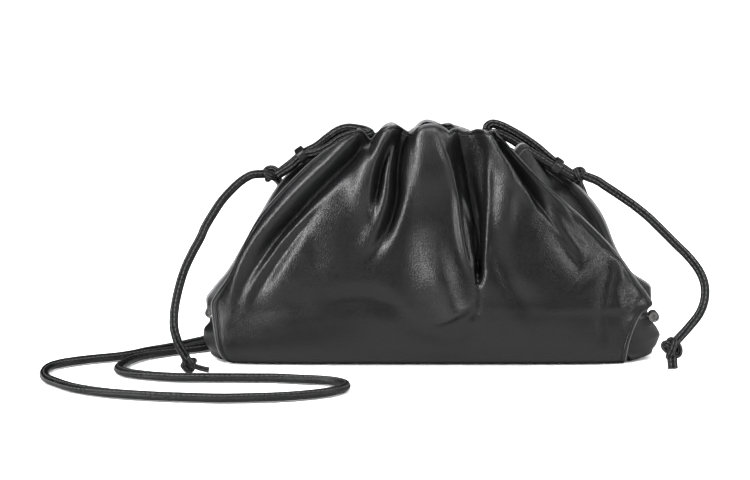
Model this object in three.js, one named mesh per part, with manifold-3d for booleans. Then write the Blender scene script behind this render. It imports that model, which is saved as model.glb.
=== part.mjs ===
// A small gathered pouch bag of soft black leather, with a thin shoulder cord, in millimetres.
// +Z is up, the front faces -Y, and the origin is the middle of the base, on the surface it stands on.
// The front and the back are gathered sheets that meet in a seam under the base. A folded gusset
// closes each side, and the mouth stays open by the thickness of the cord that runs through it.

import * as THREE from "three";
import { mergeVertices } from "three/addons/utils/BufferGeometryUtils.js";
import Module from "manifold-3d";

const wasm = await Module();
wasm.setup();

// Driving sizes of the bag
const BAG_WIDTH = 214;
const BAG_HEIGHT = 113.5;
const BAG_DEPTH = 50;
const LEATHER = 1.6;
const GUSSET_LEATHER = 1.2;
const MOUTH_SLIT = 5.4;
const CLEARANCE = 0.3;

// Driving sizes of the cord, the keepers and the hinge ends
const CORD_DIAMETER = 4.3;
const KEEPER_WIDTH = 4.2;
const KEEPER_WALL = 0.9;
const KNOT_SIZE = 8.6;
const END_KNOT_SIZE = 10.6;
const HINGE_DIAMETER = 5.2;
const HINGE_LENGTH = 6.8;
const HINGE_TONGUE_THICKNESS = 1.2;

// How finely the sheets and the cords are cut
const PANEL_COLUMNS = 38;
const PANEL_ROWS = 16;
const GUSSET_COLUMNS = 6;
const GUSSET_ROWS = 13;
const CORD_SIDES = 8;
const KNOT_SIDES = 5;
const KNOT_STEPS = 6;
const HINGE_SIDES = 16;

// Level sections of the front, from the seam under the base up to the mouth. height is a share of
// BAG_HEIGHT, left and right are shares of half the width, belly and edge are the depth in the
// middle and at the sides as shares of half the depth, and square is the section's squareness.
const FRONT_SECTIONS = [
  { name: "seam", height: 0, left: -0.91, right: 0.878, belly: 0, edge: 0, square: 8 },
  { name: "foot", height: 0, left: -0.91, right: 0.878, belly: 0.6, edge: 0.45, square: 8 },
  { name: "heel", height: 0.02, left: -0.945, right: 0.882, belly: 0.8, edge: 0.6, square: 6 },
  { name: "welt", height: 0.07, left: -0.972, right: 0.888, belly: 0.92, edge: 0.65, square: 5 },
  { name: "low", height: 0.16, left: -0.99, right: 0.92, belly: 0.98, edge: 0.56, square: 3.8 },
  { name: "corner", height: 0.25, left: -1.003, right: 1.005, belly: 1, edge: 0.36, square: 3 },
  { name: "hip", height: 0.36, left: -0.93, right: 0.927, belly: 0.98, edge: 0.33, square: 2.8 },
  { name: "belly", height: 0.46, left: -0.878, right: 0.85, belly: 0.92, edge: 0.32, square: 2.6 },
  { name: "chest", height: 0.61, left: -0.794, right: 0.696, belly: 0.79, edge: 0.31, square: 2.5 },
  { name: "breast", height: 0.72, left: -0.698, right: 0.564, belly: 0.67, edge: 0.31, square: 2.4 },
  { name: "shoulder", height: 0.81, left: -0.606, right: 0.462, belly: 0.57, edge: 0.31, square: 2.3 },
  { name: "collar", height: 0.895, left: -0.51, right: 0.382, belly: 0.46, edge: 0.3, square: 2.2 },
  { name: "throat", height: 0.96, left: -0.415, right: 0.32, belly: 0.36, edge: 0.29, square: 2.1 },
  { name: "rim", height: 1, left: -0.345, right: 0.287, belly: 0.31, edge: 0.28, square: 2 },
];

// Level sections of the back, with the same columns. It stands wider on both sides of the foot, and
// on the right of the shoulder.
const BACK_SECTIONS = [
  { name: "seam", height: 0, left: -0.91, right: 0.9, belly: 0, edge: 0, square: 8 },
  { name: "foot", height: 0, left: -0.91, right: 0.9, belly: 0.6, edge: 0.45, square: 8 },
  { name: "heel", height: 0.02, left: -0.945, right: 0.912, belly: 0.8, edge: 0.6, square: 6 },
  { name: "welt", height: 0.07, left: -0.985, right: 0.935, belly: 0.93, edge: 0.65, square: 5 },
  { name: "low", height: 0.15, left: -1.03, right: 0.97, belly: 1, edge: 0.56, square: 3.8 },
  { name: "corner", height: 0.24, left: -1.04, right: 1.022, belly: 1.02, edge: 0.36, square: 3 },
  { name: "haunch", height: 0.295, left: -1.003, right: 1.018, belly: 1.01, edge: 0.34, square: 2.9 },
  { name: "hip", height: 0.36, left: -0.945, right: 0.928, belly: 1, edge: 0.33, square: 2.8 },
  { name: "belly", height: 0.46, left: -0.88, right: 0.858, belly: 0.95, edge: 0.32, square: 2.6 },
  { name: "chest", height: 0.61, left: -0.79, right: 0.79, belly: 0.81, edge: 0.31, square: 2.5 },
  { name: "breast", height: 0.72, left: -0.72, right: 0.7, belly: 0.68, edge: 0.31, square: 2.4 },
  { name: "shoulder", height: 0.81, left: -0.64, right: 0.575, belly: 0.57, edge: 0.31, square: 2.3 },
  { name: "collar", height: 0.895, left: -0.505, right: 0.41, belly: 0.46, edge: 0.3, square: 2.2 },
  { name: "throat", height: 0.96, left: -0.38, right: 0.3, belly: 0.36, edge: 0.29, square: 2.1 },
  { name: "rim", height: 1, left: -0.315, right: 0.26, belly: 0.31, edge: 0.28, square: 2 },
];

// Folds that run down a sheet. high, middle and low are the fold's place across the section, from
// -1 at the left edge to 1 at the right. top and bottom are shares of BAG_HEIGHT. left and right
// are the widths of its two flanks and lift its height, all as shares of half BAG_DEPTH. A negative
// lift is a valley, and fade is the share of BAG_HEIGHT over which the lower end dies out.
const FRONT_FOLDS = [
  { name: "left edge roll", high: -0.95, middle: -0.93, low: -0.95, top: 0.9, bottom: 0.22,
    left: 0.13, right: 0.15, lift: 0.06, fade: 0.14 },
  { name: "left deep valley", high: -0.68, middle: -0.78, low: -0.88, top: 1.05, bottom: 0.24,
    left: 0.16, right: 0.2, lift: -0.17, fade: 0.2 },
  { name: "left end lobe", high: -0.9, middle: -0.86, low: -0.86, top: 1.05, bottom: 0.7,
    left: 0.2, right: 0.16, lift: 0.1, fade: 0.2 },
  { name: "left rib", high: -0.7, middle: -0.79, low: -0.85, top: 0.8, bottom: 0.2,
    left: 0.12, right: 0.12, lift: 0.06, fade: 0.15 },
  { name: "left second valley", high: -0.64, middle: -0.74, low: -0.83, top: 0.82, bottom: 0.24,
    left: 0.14, right: 0.24, lift: -0.11, fade: 0.16 },
  { name: "left shoulder ridge", high: -0.42, middle: -0.5, low: -0.64, top: 1.05, bottom: 0.3,
    left: 0.34, right: 0.28, lift: 0.15, fade: 0.25 },
  { name: "fork valley", high: -0.19, middle: -0.33, low: -0.26, top: 1.05, bottom: 0.5,
    left: 0.12, right: 0.14, lift: -0.15, fade: 0.16 },
  { name: "forked rib", high: -0.22, middle: -0.215, low: -0.28, top: 0.93, bottom: 0.46,
    left: 0.11, right: 0.11, lift: 0.07, fade: 0.12 },
  { name: "fork inner valley", high: -0.17, middle: -0.16, low: -0.24, top: 0.97, bottom: 0.36,
    left: 0.11, right: 0.13, lift: -0.1, fade: 0.2 },
  { name: "centre left lip", high: -0.08, middle: -0.05, low: -0.21, top: 1, bottom: 0.46,
    left: 0.11, right: 0.16, lift: 0.07, fade: 0.14 },
  { name: "centre left valley", high: -0.01, middle: -0.06, low: -0.19, top: 0.8, bottom: 0.2,
    left: 0.18, right: 0.22, lift: -0.1, fade: 0.2 },
  { name: "centre lobe", high: 0.08, middle: 0.1, low: 0.06, top: 1.05, bottom: 0.15,
    left: 0.42, right: 0.42, lift: 0.19, fade: 0.12 },
  { name: "centre hump", high: 0.27, middle: 0.3, low: 0.3, top: 1.05, bottom: 0.9,
    left: 0.1, right: 0.1, lift: 0.05, fade: 0.08 },
  { name: "pocket valley", high: 0.34, middle: 0.38, low: 0.235, top: 1.05, bottom: 0.34,
    left: 0.12, right: 0.15, lift: -0.22, fade: 0.1 },
  { name: "pocket rib", high: 0.41, middle: 0.33, low: 0.22, top: 0.85, bottom: 0.34,
    left: 0.07, right: 0.08, lift: 0.08, fade: 0.08 },
  { name: "small lobe", high: 0.46, middle: 0.48, low: 0.5, top: 1.05, bottom: 0.84,
    left: 0.12, right: 0.12, lift: 0.09, fade: 0.1 },
  { name: "pocket second valley", high: 0.56, middle: 0.46, low: 0.25, top: 1.02, bottom: 0.35,
    left: 0.14, right: 0.12, lift: -0.17, fade: 0.1 },
  { name: "right lip", high: 0.66, middle: 0.6, low: 0.26, top: 1.05, bottom: 0.33,
    left: 0.1, right: 0.34, lift: 0.14, fade: 0.12 },
  { name: "right crease", high: 0.84, middle: 0.79, low: 0.71, top: 1.05, bottom: 0.28,
    left: 0.16, right: 0.16, lift: -0.16, fade: 0.2 },
  { name: "right ridge", high: 0.93, middle: 0.93, low: 0.89, top: 1.05, bottom: 0.48,
    left: 0.1, right: 0.12, lift: 0.08, fade: 0.16 },
  { name: "right low ridge", high: 0.77, middle: 0.81, low: 0.8, top: 0.66, bottom: 0.28,
    left: 0.16, right: 0.2, lift: 0.07, fade: 0.12 },
  { name: "right soft ridge", high: 0.6, middle: 0.54, low: 0.52, top: 0.76, bottom: 0.32,
    left: 0.34, right: 0.34, lift: 0.06, fade: 0.16 },
  { name: "right soft valley", high: 0.33, middle: 0.42, low: 0.54, top: 0.44, bottom: 0.12,
    left: 0.3, right: 0.3, lift: -0.06, fade: 0.1 },
  { name: "corner dent", high: 0.9, middle: 0.8, low: 0.87, top: 0.42, bottom: 0.07,
    left: 0.1, right: 0.18, lift: -0.1, fade: 0.08 },
  { name: "corner pucker", high: 0.95, middle: 0.9, low: 0.88, top: 0.4, bottom: 0.14,
    left: 0.12, right: 0.12, lift: 0.07, fade: 0.08 },
];

const BACK_FOLDS = [
  { name: "left edge roll", high: -0.94, middle: -0.93, low: -0.94, top: 0.9, bottom: 0.22,
    left: 0.14, right: 0.16, lift: 0.06, fade: 0.14 },
  { name: "left valley", high: -0.66, middle: -0.76, low: -0.84, top: 1.05, bottom: 0.26,
    left: 0.18, right: 0.22, lift: -0.15, fade: 0.2 },
  { name: "left ridge", high: -0.42, middle: -0.52, low: -0.62, top: 1.05, bottom: 0.32,
    left: 0.3, right: 0.26, lift: 0.12, fade: 0.25 },
  { name: "inner left valley", high: -0.17, middle: -0.22, low: -0.3, top: 1.05, bottom: 0.36,
    left: 0.14, right: 0.18, lift: -0.15, fade: 0.2 },
  { name: "centre ridge", high: 0.1, middle: 0.06, low: 0.02, top: 1.05, bottom: 0.22,
    left: 0.3, right: 0.3, lift: 0.14, fade: 0.22 },
  { name: "inner right valley", high: 0.34, middle: 0.33, low: 0.3, top: 1.05, bottom: 0.38,
    left: 0.16, right: 0.14, lift: -0.15, fade: 0.18 },
  { name: "right ridge", high: 0.56, middle: 0.56, low: 0.6, top: 1.05, bottom: 0.3,
    left: 0.26, right: 0.32, lift: 0.12, fade: 0.22 },
  { name: "right valley", high: 0.8, middle: 0.8, low: 0.84, top: 1.05, bottom: 0.28,
    left: 0.18, right: 0.16, lift: -0.14, fade: 0.2 },
  { name: "right edge roll", high: 0.94, middle: 0.94, low: 0.95, top: 0.9, bottom: 0.24,
    left: 0.14, right: 0.12, lift: 0.06, fade: 0.14 },
];

// The gusset's crease at each height: left and right are how far the middle of that gusset stands
// out past the side edges (negative where it folds inwards), as shares of half the depth, and sharp
// goes from 0 for a round bulge to 1 for a pressed crease.
const GUSSET_CREASE = [
  { height: 0, left: 0.12, right: 0.2, sharp: 0 },
  { height: 0.02, left: 0.2, right: 0.42, sharp: 0 },
  { height: 0.055, left: 0.28, right: 0.56, sharp: 0 },
  { height: 0.09, left: 0.25, right: 0.57, sharp: 0 },
  { height: 0.125, left: 0.18, right: 0.44, sharp: 0.1 },
  { height: 0.15, left: -0.02, right: 0.24, sharp: 0.4 },
  { height: 0.17, left: -0.2, right: 0.04, sharp: 0.7 },
  { height: 0.2, left: -0.44, right: -0.22, sharp: 0.9 },
  { height: 0.265, left: -0.5, right: -0.4, sharp: 1 },
  { height: 0.36, left: -0.38, right: -0.4, sharp: 1 },
  { height: 0.61, left: -0.42, right: -0.42, sharp: 1 },
  { height: 0.72, left: -0.34, right: -0.34, sharp: 1 },
  { height: 0.81, left: -0.3, right: -0.3, sharp: 1 },
  { height: 0.9, left: -0.26, right: -0.26, sharp: 1 },
];
const GUSSET_TOP = 0.87;
const GUSSET_CROWDING = 1.4;
const GUSSET_FOOT = GUSSET_LEATHER + 5 * CLEARANCE;

const RIM_SCALLOP = 0.45;
const EDGE_FADE = 0.07;
const SECTION_POWER = 0.62;
const SHEET_STEP = 0.02;
const THICKEST = 2.2;

const HALF_WIDTH = BAG_WIDTH / 2;
const HALF_DEPTH = BAG_DEPTH / 2;

// A column of a table at a height, with straight runs between the rows.
function columnAt(table, column, keys, key) {
  let row = 1;
  while (row < keys.length - 1 && key > keys[row]) row += 1;
  const share = THREE.MathUtils.clamp((key - keys[row - 1]) / (keys[row] - keys[row - 1]), 0, 1);
  return THREE.MathUtils.lerp(table[row - 1][column], table[row][column], share);
}

// A column of a table on a smooth curve that never swings past its rows.
function smoothColumnAt(table, column, keys, key) {
  let row = 1;
  while (row < keys.length - 1 && key > keys[row]) row += 1;
  const slope = (k) => {
    if (k < 1 || k > keys.length - 1) return 0;
    return (table[k][column] - table[k - 1][column]) / (keys[k] - keys[k - 1]);
  };
  const tangent = (k) => {
    const before = slope(k);
    const after = slope(k + 1);
    if (k === 0) return after;
    if (k === keys.length - 1) return before;
    return before * after <= 0 ? 0 : (2 * before * after) / (before + after);
  };
  const run = keys[row] - keys[row - 1];
  const s = THREE.MathUtils.clamp((key - keys[row - 1]) / run, 0, 1);
  const start = table[row - 1][column];
  const end = table[row][column];
  const rise = s * s * (3 - 2 * s);
  return (
    start + (end - start) * rise +
    run * (tangent(row - 1) * s * (1 - s) * (1 - s) - tangent(row) * s * s * (1 - s))
  );
}

// How far along the middle of a sheet each section lies, from 0 at the seam to 1 at the rim.
function sectionKeys(sections) {
  const keys = [0];
  for (let k = 1; k < sections.length; k += 1) {
    const rise = (sections[k].height - sections[k - 1].height) * BAG_HEIGHT;
    const run = (sections[k].belly - sections[k - 1].belly) * HALF_DEPTH;
    keys.push(keys[k - 1] + Math.hypot(rise, run));
  }
  return keys.map((key) => key / keys[keys.length - 1]);
}

// One side of the bag, front or back, as a surface that its folds stand out from.
class GatheredSheet {
  constructor(sections, folds, facing) {
    this.sections = sections;
    this.folds = folds;
    this.facing = facing;
    this.keys = sectionKeys(sections);
  }

  section(along) {
    const at = (column) => smoothColumnAt(this.sections, column, this.keys, along);
    return {
      z: at("height") * BAG_HEIGHT,
      left: at("left") * HALF_WIDTH,
      right: at("right") * HALF_WIDTH,
      belly: at("belly") * HALF_DEPTH,
      edge: at("edge") * HALF_DEPTH,
      square: at("square"),
    };
  }

  // The sheet without its folds. across goes from -1 at the left edge to 1 at the right.
  plain(across, along) {
    const s = this.section(along);
    const lens = Math.pow(Math.max(0, 1 - Math.pow(Math.abs(across), s.square)), SECTION_POWER);
    const depth = CLEARANCE / 2 + s.edge + (s.belly - s.edge) * lens;
    const x = THREE.MathUtils.lerp(s.left, s.right, (across + 1) / 2);
    return new THREE.Vector3(x, this.facing * depth, s.z);
  }

  normal(across, along) {
    const step = SHEET_STEP;
    const limit = THREE.MathUtils.clamp(across, step - 1, 1 - step);
    const low = Math.max(0, along - step);
    const high = Math.min(1, along + step);
    const sideways = this.plain(limit + step, along).sub(this.plain(limit - step, along));
    const upward = this.plain(limit, high).sub(this.plain(limit, low));
    return sideways.cross(upward).multiplyScalar(-this.facing).normalize();
  }

  // The height of all folds at a place, in millimetres.
  relief(across, along) {
    const s = this.section(along);
    const height = s.z / BAG_HEIGHT;
    const half = (s.right - s.left) / 2;
    let sum = 0;
    for (const fold of this.folds) {
      const down = THREE.MathUtils.clamp((fold.top - height) / (fold.top - fold.bottom), 0, 1);
      const upper = 2 * down * (fold.middle - fold.high) + fold.high;
      const lower = 2 * (down - 0.5) * (fold.low - fold.middle) + fold.middle;
      const bend = THREE.MathUtils.smoothstep(down, 0.3, 0.7);
      const centre = THREE.MathUtils.lerp(upper, lower, bend);
      const away = (across - centre) * half;
      const flank = (away < 0 ? fold.left : fold.right) * HALF_DEPTH;
      const fade = fold.fade / 2;
      const end = THREE.MathUtils.smoothstep(height, fold.bottom - fade, fold.bottom + fade);
      const start = 1 - THREE.MathUtils.smoothstep(height, fold.top - fold.fade, fold.top + 0.001);
      const reach = fold.top > 1 ? 1 : start;
      sum += fold.lift * HALF_DEPTH * Math.exp(-((away / flank) ** 2)) * end * reach;
    }
    const edge = THREE.MathUtils.smoothstep(1 - Math.abs(across), 0, EDGE_FADE);
    return sum * edge;
  }

  // The outer or the inner face, where inward is the leather's thickness or 0.
  point(across, along, inward) {
    const base = this.plain(across, along);
    const normal = this.normal(across, along);
    const half = (this.section(along).right - this.section(along).left) / 2;
    const relief = this.relief(across, along);
    const near = this.relief(Math.min(1, across + SHEET_STEP), along);
    const slope = (near - relief) / (SHEET_STEP * half);
    const wall = inward * Math.min(THICKEST, Math.hypot(1, slope));
    const point = base.addScaledVector(normal, relief - wall);
    const rim = THREE.MathUtils.smoothstep(along, 0.85, 1);
    point.z += rim * RIM_SCALLOP * relief;
    const least = MOUTH_SLIT / 2 + (LEATHER - inward);
    if (rim > 0 && this.facing * point.y < least) point.y = this.facing * least;
    if (inward > 0 && along <= this.keys[1]) point.z = inward;
    return point;
  }
}

// A closed sheet from two grids of points, an outer and an inner face, joined round the border.
function sheetGeometry(columns, rows, outer, inner, flipped) {
  const width = columns + 1;
  const count = width * (rows + 1);
  const positions = [];
  for (const face of [outer, inner])
    for (let j = 0; j <= rows; j += 1)
      for (let i = 0; i <= columns; i += 1) positions.push(...face(i / columns, j / rows).toArray());
  const triangles = [];
  const quad = (a, b, c, d) => {
    if (flipped) triangles.push(a, c, b, a, d, c);
    else triangles.push(a, b, c, a, c, d);
  };
  for (let j = 0; j < rows; j += 1)
    for (let i = 0; i < columns; i += 1) {
      const a = j * width + i;
      quad(a, a + 1, a + width + 1, a + width);
      quad(count + a, count + a + width, count + a + width + 1, count + a + 1);
    }
  for (let i = 0; i < columns; i += 1) {
    const top = rows * width + i;
    quad(i + 1, i, count + i, count + i + 1);
    quad(top, top + 1, count + top + 1, count + top);
  }
  for (let j = 0; j < rows; j += 1) {
    const left = j * width;
    const right = left + columns;
    quad(left, left + width, count + left + width, count + left);
    quad(right + width, right, count + right, count + right + width);
  }
  const geometry = new THREE.BufferGeometry();
  geometry.setAttribute("position", new THREE.Float32BufferAttribute(positions, 3));
  geometry.setIndex(triangles);
  geometry.computeVertexNormals();
  return geometry;
}

const front = new GatheredSheet(FRONT_SECTIONS, FRONT_FOLDS, -1);
const back = new GatheredSheet(BACK_SECTIONS, BACK_FOLDS, 1);

function panelGeometry(sheet) {
  return sheetGeometry(
    PANEL_COLUMNS,
    PANEL_ROWS,
    (u, v) => sheet.point(2 * u - 1, v, 0),
    (u, v) => sheet.point(2 * u - 1, v, LEATHER),
    sheet.facing > 0,
  );
}

// The place along a sheet where its sections reach a height, a share of BAG_HEIGHT.
function alongAt(sheet, height) {
  const rows = sheet.sections.slice(1);
  const keys = sheet.keys.slice(1);
  const places = keys.map((key) => ({ key }));
  return columnAt(places, "key", rows.map((row) => row.height), height);
}

// The gusset's outer face: side is -1 on the left and 1 on the right, across goes from -1 at the
// front edge to 1 at the back edge, and up is a height as a share of BAG_HEIGHT.
function gussetPoint(side, across, up, inward) {
  const edges = [front, back].map((sheet) => {
    const s = sheet.section(alongAt(sheet, up));
    return { x: side < 0 ? s.left : s.right, y: sheet.facing * (s.edge - LEATHER - 1.5 * CLEARANCE) };
  });
  const crease = (column) =>
    smoothColumnAt(GUSSET_CREASE, column, GUSSET_CREASE.map((row) => row.height), up);
  const bulge = crease(side < 0 ? "left" : "right") * HALF_DEPTH;
  const sharp = crease("sharp");
  const share = (across + 1) / 2;
  const round = 1 - across * across;
  const fold = 1 - Math.abs(across);
  const out = bulge * THREE.MathUtils.lerp(round, fold, sharp);
  const half = (edges[1].y - edges[0].y) / 2;
  const slope = (bulge / half) * THREE.MathUtils.lerp(2 * Math.abs(across), 1, sharp);
  const wall = inward * Math.min(THICKEST, Math.hypot(1, slope));
  const edge = THREE.MathUtils.lerp(edges[0].x, edges[1].x, share);
  const height = up * BAG_HEIGHT;
  const foot = (1 - THREE.MathUtils.smoothstep(height, LEATHER, 3 * LEATHER)) * GUSSET_FOOT;
  return new THREE.Vector3(
    edge + side * (out - wall + foot),
    THREE.MathUtils.lerp(edges[0].y, edges[1].y, share),
    height,
  );
}

const levels = (v) => GUSSET_TOP * v ** GUSSET_CROWDING;

// How far out along X the cut faces of the gusset stand, between two of its rows.
function gussetReach(side, across, up) {
  const row = Math.floor(GUSSET_ROWS * (up / GUSSET_TOP) ** (1 / GUSSET_CROWDING));
  const [low, high] = [row, row + 1].map((k) => levels(k / GUSSET_ROWS));
  const [foot, head] = [low, high].map((level) => side * gussetPoint(side, across, level, 0).x);
  return THREE.MathUtils.lerp(foot, head, (up - low) / (high - low));
}

function gussetGeometry(side) {
  return sheetGeometry(
    GUSSET_COLUMNS,
    GUSSET_ROWS,
    (u, v) => gussetPoint(side, 2 * u - 1, levels(v), 0),
    (u, v) => gussetPoint(side, 2 * u - 1, levels(v), GUSSET_LEATHER),
    side < 0,
  );
}

// A round cord along a smooth curve through points. ExtrudeGeometry closes both of its ends.
function cordGeometry(points, diameter, steps, sides) {
  const places = points.map((point) => new THREE.Vector3(...point));
  const curve = new THREE.CatmullRomCurve3(places, false, "centripetal");
  const circle = new THREE.Shape();
  for (let k = 0; k < sides; k += 1) {
    const angle = (2 * Math.PI * (k + 0.5)) / sides;
    const place = [(diameter / 2) * Math.cos(angle), (diameter / 2) * Math.sin(angle)];
    if (k === 0) circle.moveTo(...place);
    else circle.lineTo(...place);
  }
  circle.closePath();
  return new THREE.ExtrudeGeometry(circle, { steps, extrudePath: curve, curveSegments: 1 });
}

function manifoldOf(geometry) {
  const bare = geometry.clone();
  bare.deleteAttribute("normal");
  bare.deleteAttribute("uv");
  const merged = mergeVertices(bare, 1e-4);
  return new wasm.Manifold(
    new wasm.Mesh({
      numProp: 3,
      vertProperties: new Float32Array(merged.attributes.position.array),
      triVerts: new Uint32Array(merged.index.array),
    }),
  );
}

function geometryOf(manifold) {
  const mesh = manifold.getMesh();
  const geometry = new THREE.BufferGeometry();
  geometry.setAttribute("position", new THREE.Float32BufferAttribute(mesh.vertProperties, 3));
  geometry.setIndex(new THREE.BufferAttribute(mesh.triVerts, 1));
  geometry.computeVertexNormals();
  return geometry;
}

// Where the hinge ends lie, as shares of half BAG_WIDTH and of BAG_HEIGHT.
const HINGES = [
  { name: "hinge_left", along: -1.014, height: 0.2 },
  { name: "hinge_right", along: 1.022, height: 0.182 },
];

// A barrel along Y with a flat tongue that stops just short of the gusset's fold.
function hingeGeometry(hinge) {
  const side = Math.sign(hinge.along);
  const middle = Math.abs(hinge.along) * HALF_WIDTH;
  const width = HINGE_LENGTH * 0.6;
  const lift = HINGE_TONGUE_THICKNESS / 2 / BAG_HEIGHT;
  let nearest = 0;
  for (const across of [-2 / GUSSET_COLUMNS, 0, 2 / GUSSET_COLUMNS])
    for (const up of [hinge.height - lift, hinge.height + lift])
      nearest = Math.max(nearest, gussetReach(side, across, up));
  const reach = Math.max(HINGE_TONGUE_THICKNESS, middle - nearest - CLEARANCE);
  const radius = HINGE_DIAMETER / 2;
  const barrel = new THREE.CylinderGeometry(radius, radius, HINGE_LENGTH, HINGE_SIDES);
  const tongue = new THREE.BoxGeometry(reach, width, HINGE_TONGUE_THICKNESS);
  tongue.translate((-side * reach) / 2, 0, 0);
  const body = wasm.Manifold.union(manifoldOf(barrel), manifoldOf(tongue));
  const geometry = geometryOf(body);
  return geometry.translate(side * middle, 0, hinge.height * BAG_HEIGHT);
}

// Cord routes, point by point. The bag's shoulders carry the loops, the tails hang in the air, and
// the strap lies on the surface and runs on behind the bag. Floor points have their height left out.
// The points are placed on a bag of the size below, and move with the sizes of this one.
const PLACED_ON = { width: 214, depth: 50, height: 113.5 };
const ROUTES = {
  loop_left: [
    [-73.4, -2.3, 91.6], [-68.5, -2.5, 94.9], [-62.5, -2.4, 100], [-56, -2.2, 101.6], [-50, -2.1, 104.6],
    [-44, -1.8, 108.6], [-37.5, -1.6, 110.6], [-32, -1.9, 110.4], [-29.6, 0.2, 110.8], [-32, 2.2, 112],
    [-37, 2, 113.1], [-41, 1.9, 113.4], [-45.5, 2, 112.1], [-50.4, 2.2, 108.8], [-56, 2.4, 104.4],
    [-62.5, 2.4, 100.9], [-68.5, 2.4, 95.8], [-73, 2.6, 92.3],
  ],
  loop_right: [
    [66.6, -2.4, 91], [62.5, -2.4, 93.2], [58, -2.4, 95.8], [51, -2.1, 100], [43, -1.6, 105.2],
    [37, -1.2, 108.8], [32, -0.8, 110.9], [28.6, -0.4, 111], [26.4, -0.1, 113.1], [28.6, 0, 115.4],
    [32.6, 0, 114.8], [38.5, 0.6, 112], [45, 1.6, 108.2], [52, 2.4, 103.2], [58, 2.5, 98],
    [62.5, 2.4, 94.6], [66.6, 2.4, 91.8],
  ],
  tail_left: [
    [-82.6, -1, 91.1], [-87.3, -3, 90.9], [-92.1, -6, 88.5], [-96.8, -9, 84.5], [-101.6, -12, 79.3],
    [-105.1, -15, 74.2], [-109.3, -18, 67.2], [-110.9, -21, 63.4], [-115, -24, 55.8], [-118.5, -27, 48.3],
    [-120.8, -30, 40.8], [-122.4, -33, 33.4], [-123, -36, 27.2], [-122.7, -38, 21.6], [-120.6, -38.6, 14.4],
    [-117.9, -38.2, 8.9],
  ],
  tail_right: [
    [75.8, -0.5, 89.6], [80.5, -1.2, 87.8], [85, -2, 84.9], [90.4, -2.6, 81.4], [97.7, -4.9, 76.5],
    [104.9, -7.1, 70.8], [110.7, -9.4, 65.3], [117.7, -11.7, 58.4], [124.3, -14, 51.9], [129.5, -16.3, 44.7],
    [131.4, -18.6, 38.2], [130.8, -20.9, 31.8], [128.2, -23.1, 26.1], [123.3, -25.4, 20.4],
    [116.9, -28.4, 14.2],
  ],
  strap: [
    [-77.6, 5.2, 89.6], [-74.8, 11, 86], [-73, 16.6, 81], [-73, 25, 71], [-76, 32.5, 56], [-84, 37, 36],
    [-94, 39.5, 17], [-101.5, 38.8, 6.6], [-109.5, 35, 2.9], [-114.8, 29.4], [-120.8, 22],
    [-126.8, 14.6], [-133.4, 8.6], [-140.4, 2.7], [-146.6, -4.2], [-153.2, -9.5],
    [-166.7, -16.1], [-178.2, -24.5], [-182.9, -32.7], [-183.6, -46.8], [-180.3, -58.5],
    [-175.6, -65.3], [-165.1, -77.4], [-150.5, -86.2], [-136.7, -91.1], [-123.2, -94.2],
    [-109.8, -96.1], [-96.6, -97.5], [-83.1, -96.7], [-71.8, -95.2], [-60.4, -91.9],
    [-49.1, -86], [-42.2, -78.4], [-40.9, -71.9], [-43.6, -66.4], [-49.6, -62.2],
    [-61.6, -59.5], [-73.5, -57], [-85.5, -56.4], [-97.4, -56], [-109.3, -56],
    [-120.2, -55.5], [-134.3, -51.5], [-145.4, -45.3], [-149.8, -37.3], [-148.4, -26],
    [-145.3, -16.1], [-139.2, -6], [-125.9, 5.1], [-112.7, 13.2], [-104, 24],
    [-90, 31.5], [-70, 35.5], [-40, 38.5], [0, 40], [40, 39.5],
    [64, 38, 2.9], [82, 36, 8.4], [90, 32.5, 20], [91.5, 28, 36], [87.4, 23.5, 52],
    [80.4, 18, 67.7], [76, 14.6, 78], [73, 11.2, 84.6], [71.5, 5.4, 89],
  ],
};

// The keepers' places on the doubled cord and how they lean, and the places of the knots.
const KEEPERS = [
  { name: "keeper_left", at: [-63.3, 0, 100.6], lean: 36, tilt: 13 },
  { name: "keeper_right", at: [60.4, 0, 95.3], lean: -35, tilt: 18 },
];
const KNOTS = [
  { name: "knot_upper_left", at: [-77.9, 0.4, 91], size: KNOT_SIZE, turn: [20, 30, 10] },
  { name: "knot_upper_right", at: [71.2, 0.4, 90.4], size: KNOT_SIZE, turn: [-20, -25, 40] },
  { name: "knot_end_left", at: [-116.2, -37.6, 4.9], size: KNOT_SIZE, turn: [10, 60, 25] },
  { name: "knot_end_right", at: [114.4, -29.8, 10.3], size: END_KNOT_SIZE, turn: [-30, 20, 70] },
];
const TAIL_ENDS = [
  { name: "knot_end_left", from: [-114, -37.6, 3.4], to: [-106.6, -37.6, 2.1], thickness: 0.62 },
  { name: "knot_end_right", from: [114.4, -30.6, 7], to: [114.9, -32.4, 2.9], thickness: 1.12 },
];
const CORD_STEPS = { loop_left: 26, loop_right: 26, tail_left: 14, tail_right: 14, strap: 76 };

// A point of the tables above on this bag, at least so high above the surface it stands on.
function onBag([x, y, z = 0], least) {
  return [
    (x * BAG_WIDTH) / PLACED_ON.width,
    (y * BAG_DEPTH) / PLACED_ON.depth,
    Math.max((z * BAG_HEIGHT) / PLACED_ON.height, least),
  ];
}

function routePoints(name) {
  return ROUTES[name].map((point) => onBag(point, CORD_DIAMETER / 2 + CLEARANCE));
}

function keeperGeometry(keeper) {
  const wide = 2 * CORD_DIAMETER + 5 * CLEARANCE;
  const tall = CORD_DIAMETER + 7 * CLEARANCE;
  const outer = new THREE.BoxGeometry(KEEPER_WIDTH, wide + 2 * KEEPER_WALL, tall + 2 * KEEPER_WALL);
  const opening = new THREE.BoxGeometry(KEEPER_WIDTH * 2, wide, tall);
  const band = geometryOf(wasm.Manifold.difference(manifoldOf(outer), manifoldOf(opening)));
  band.rotateX(THREE.MathUtils.degToRad(keeper.tilt));
  band.rotateY(-THREE.MathUtils.degToRad(keeper.lean));
  return band.translate(...onBag(keeper.at, 0));
}

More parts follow.
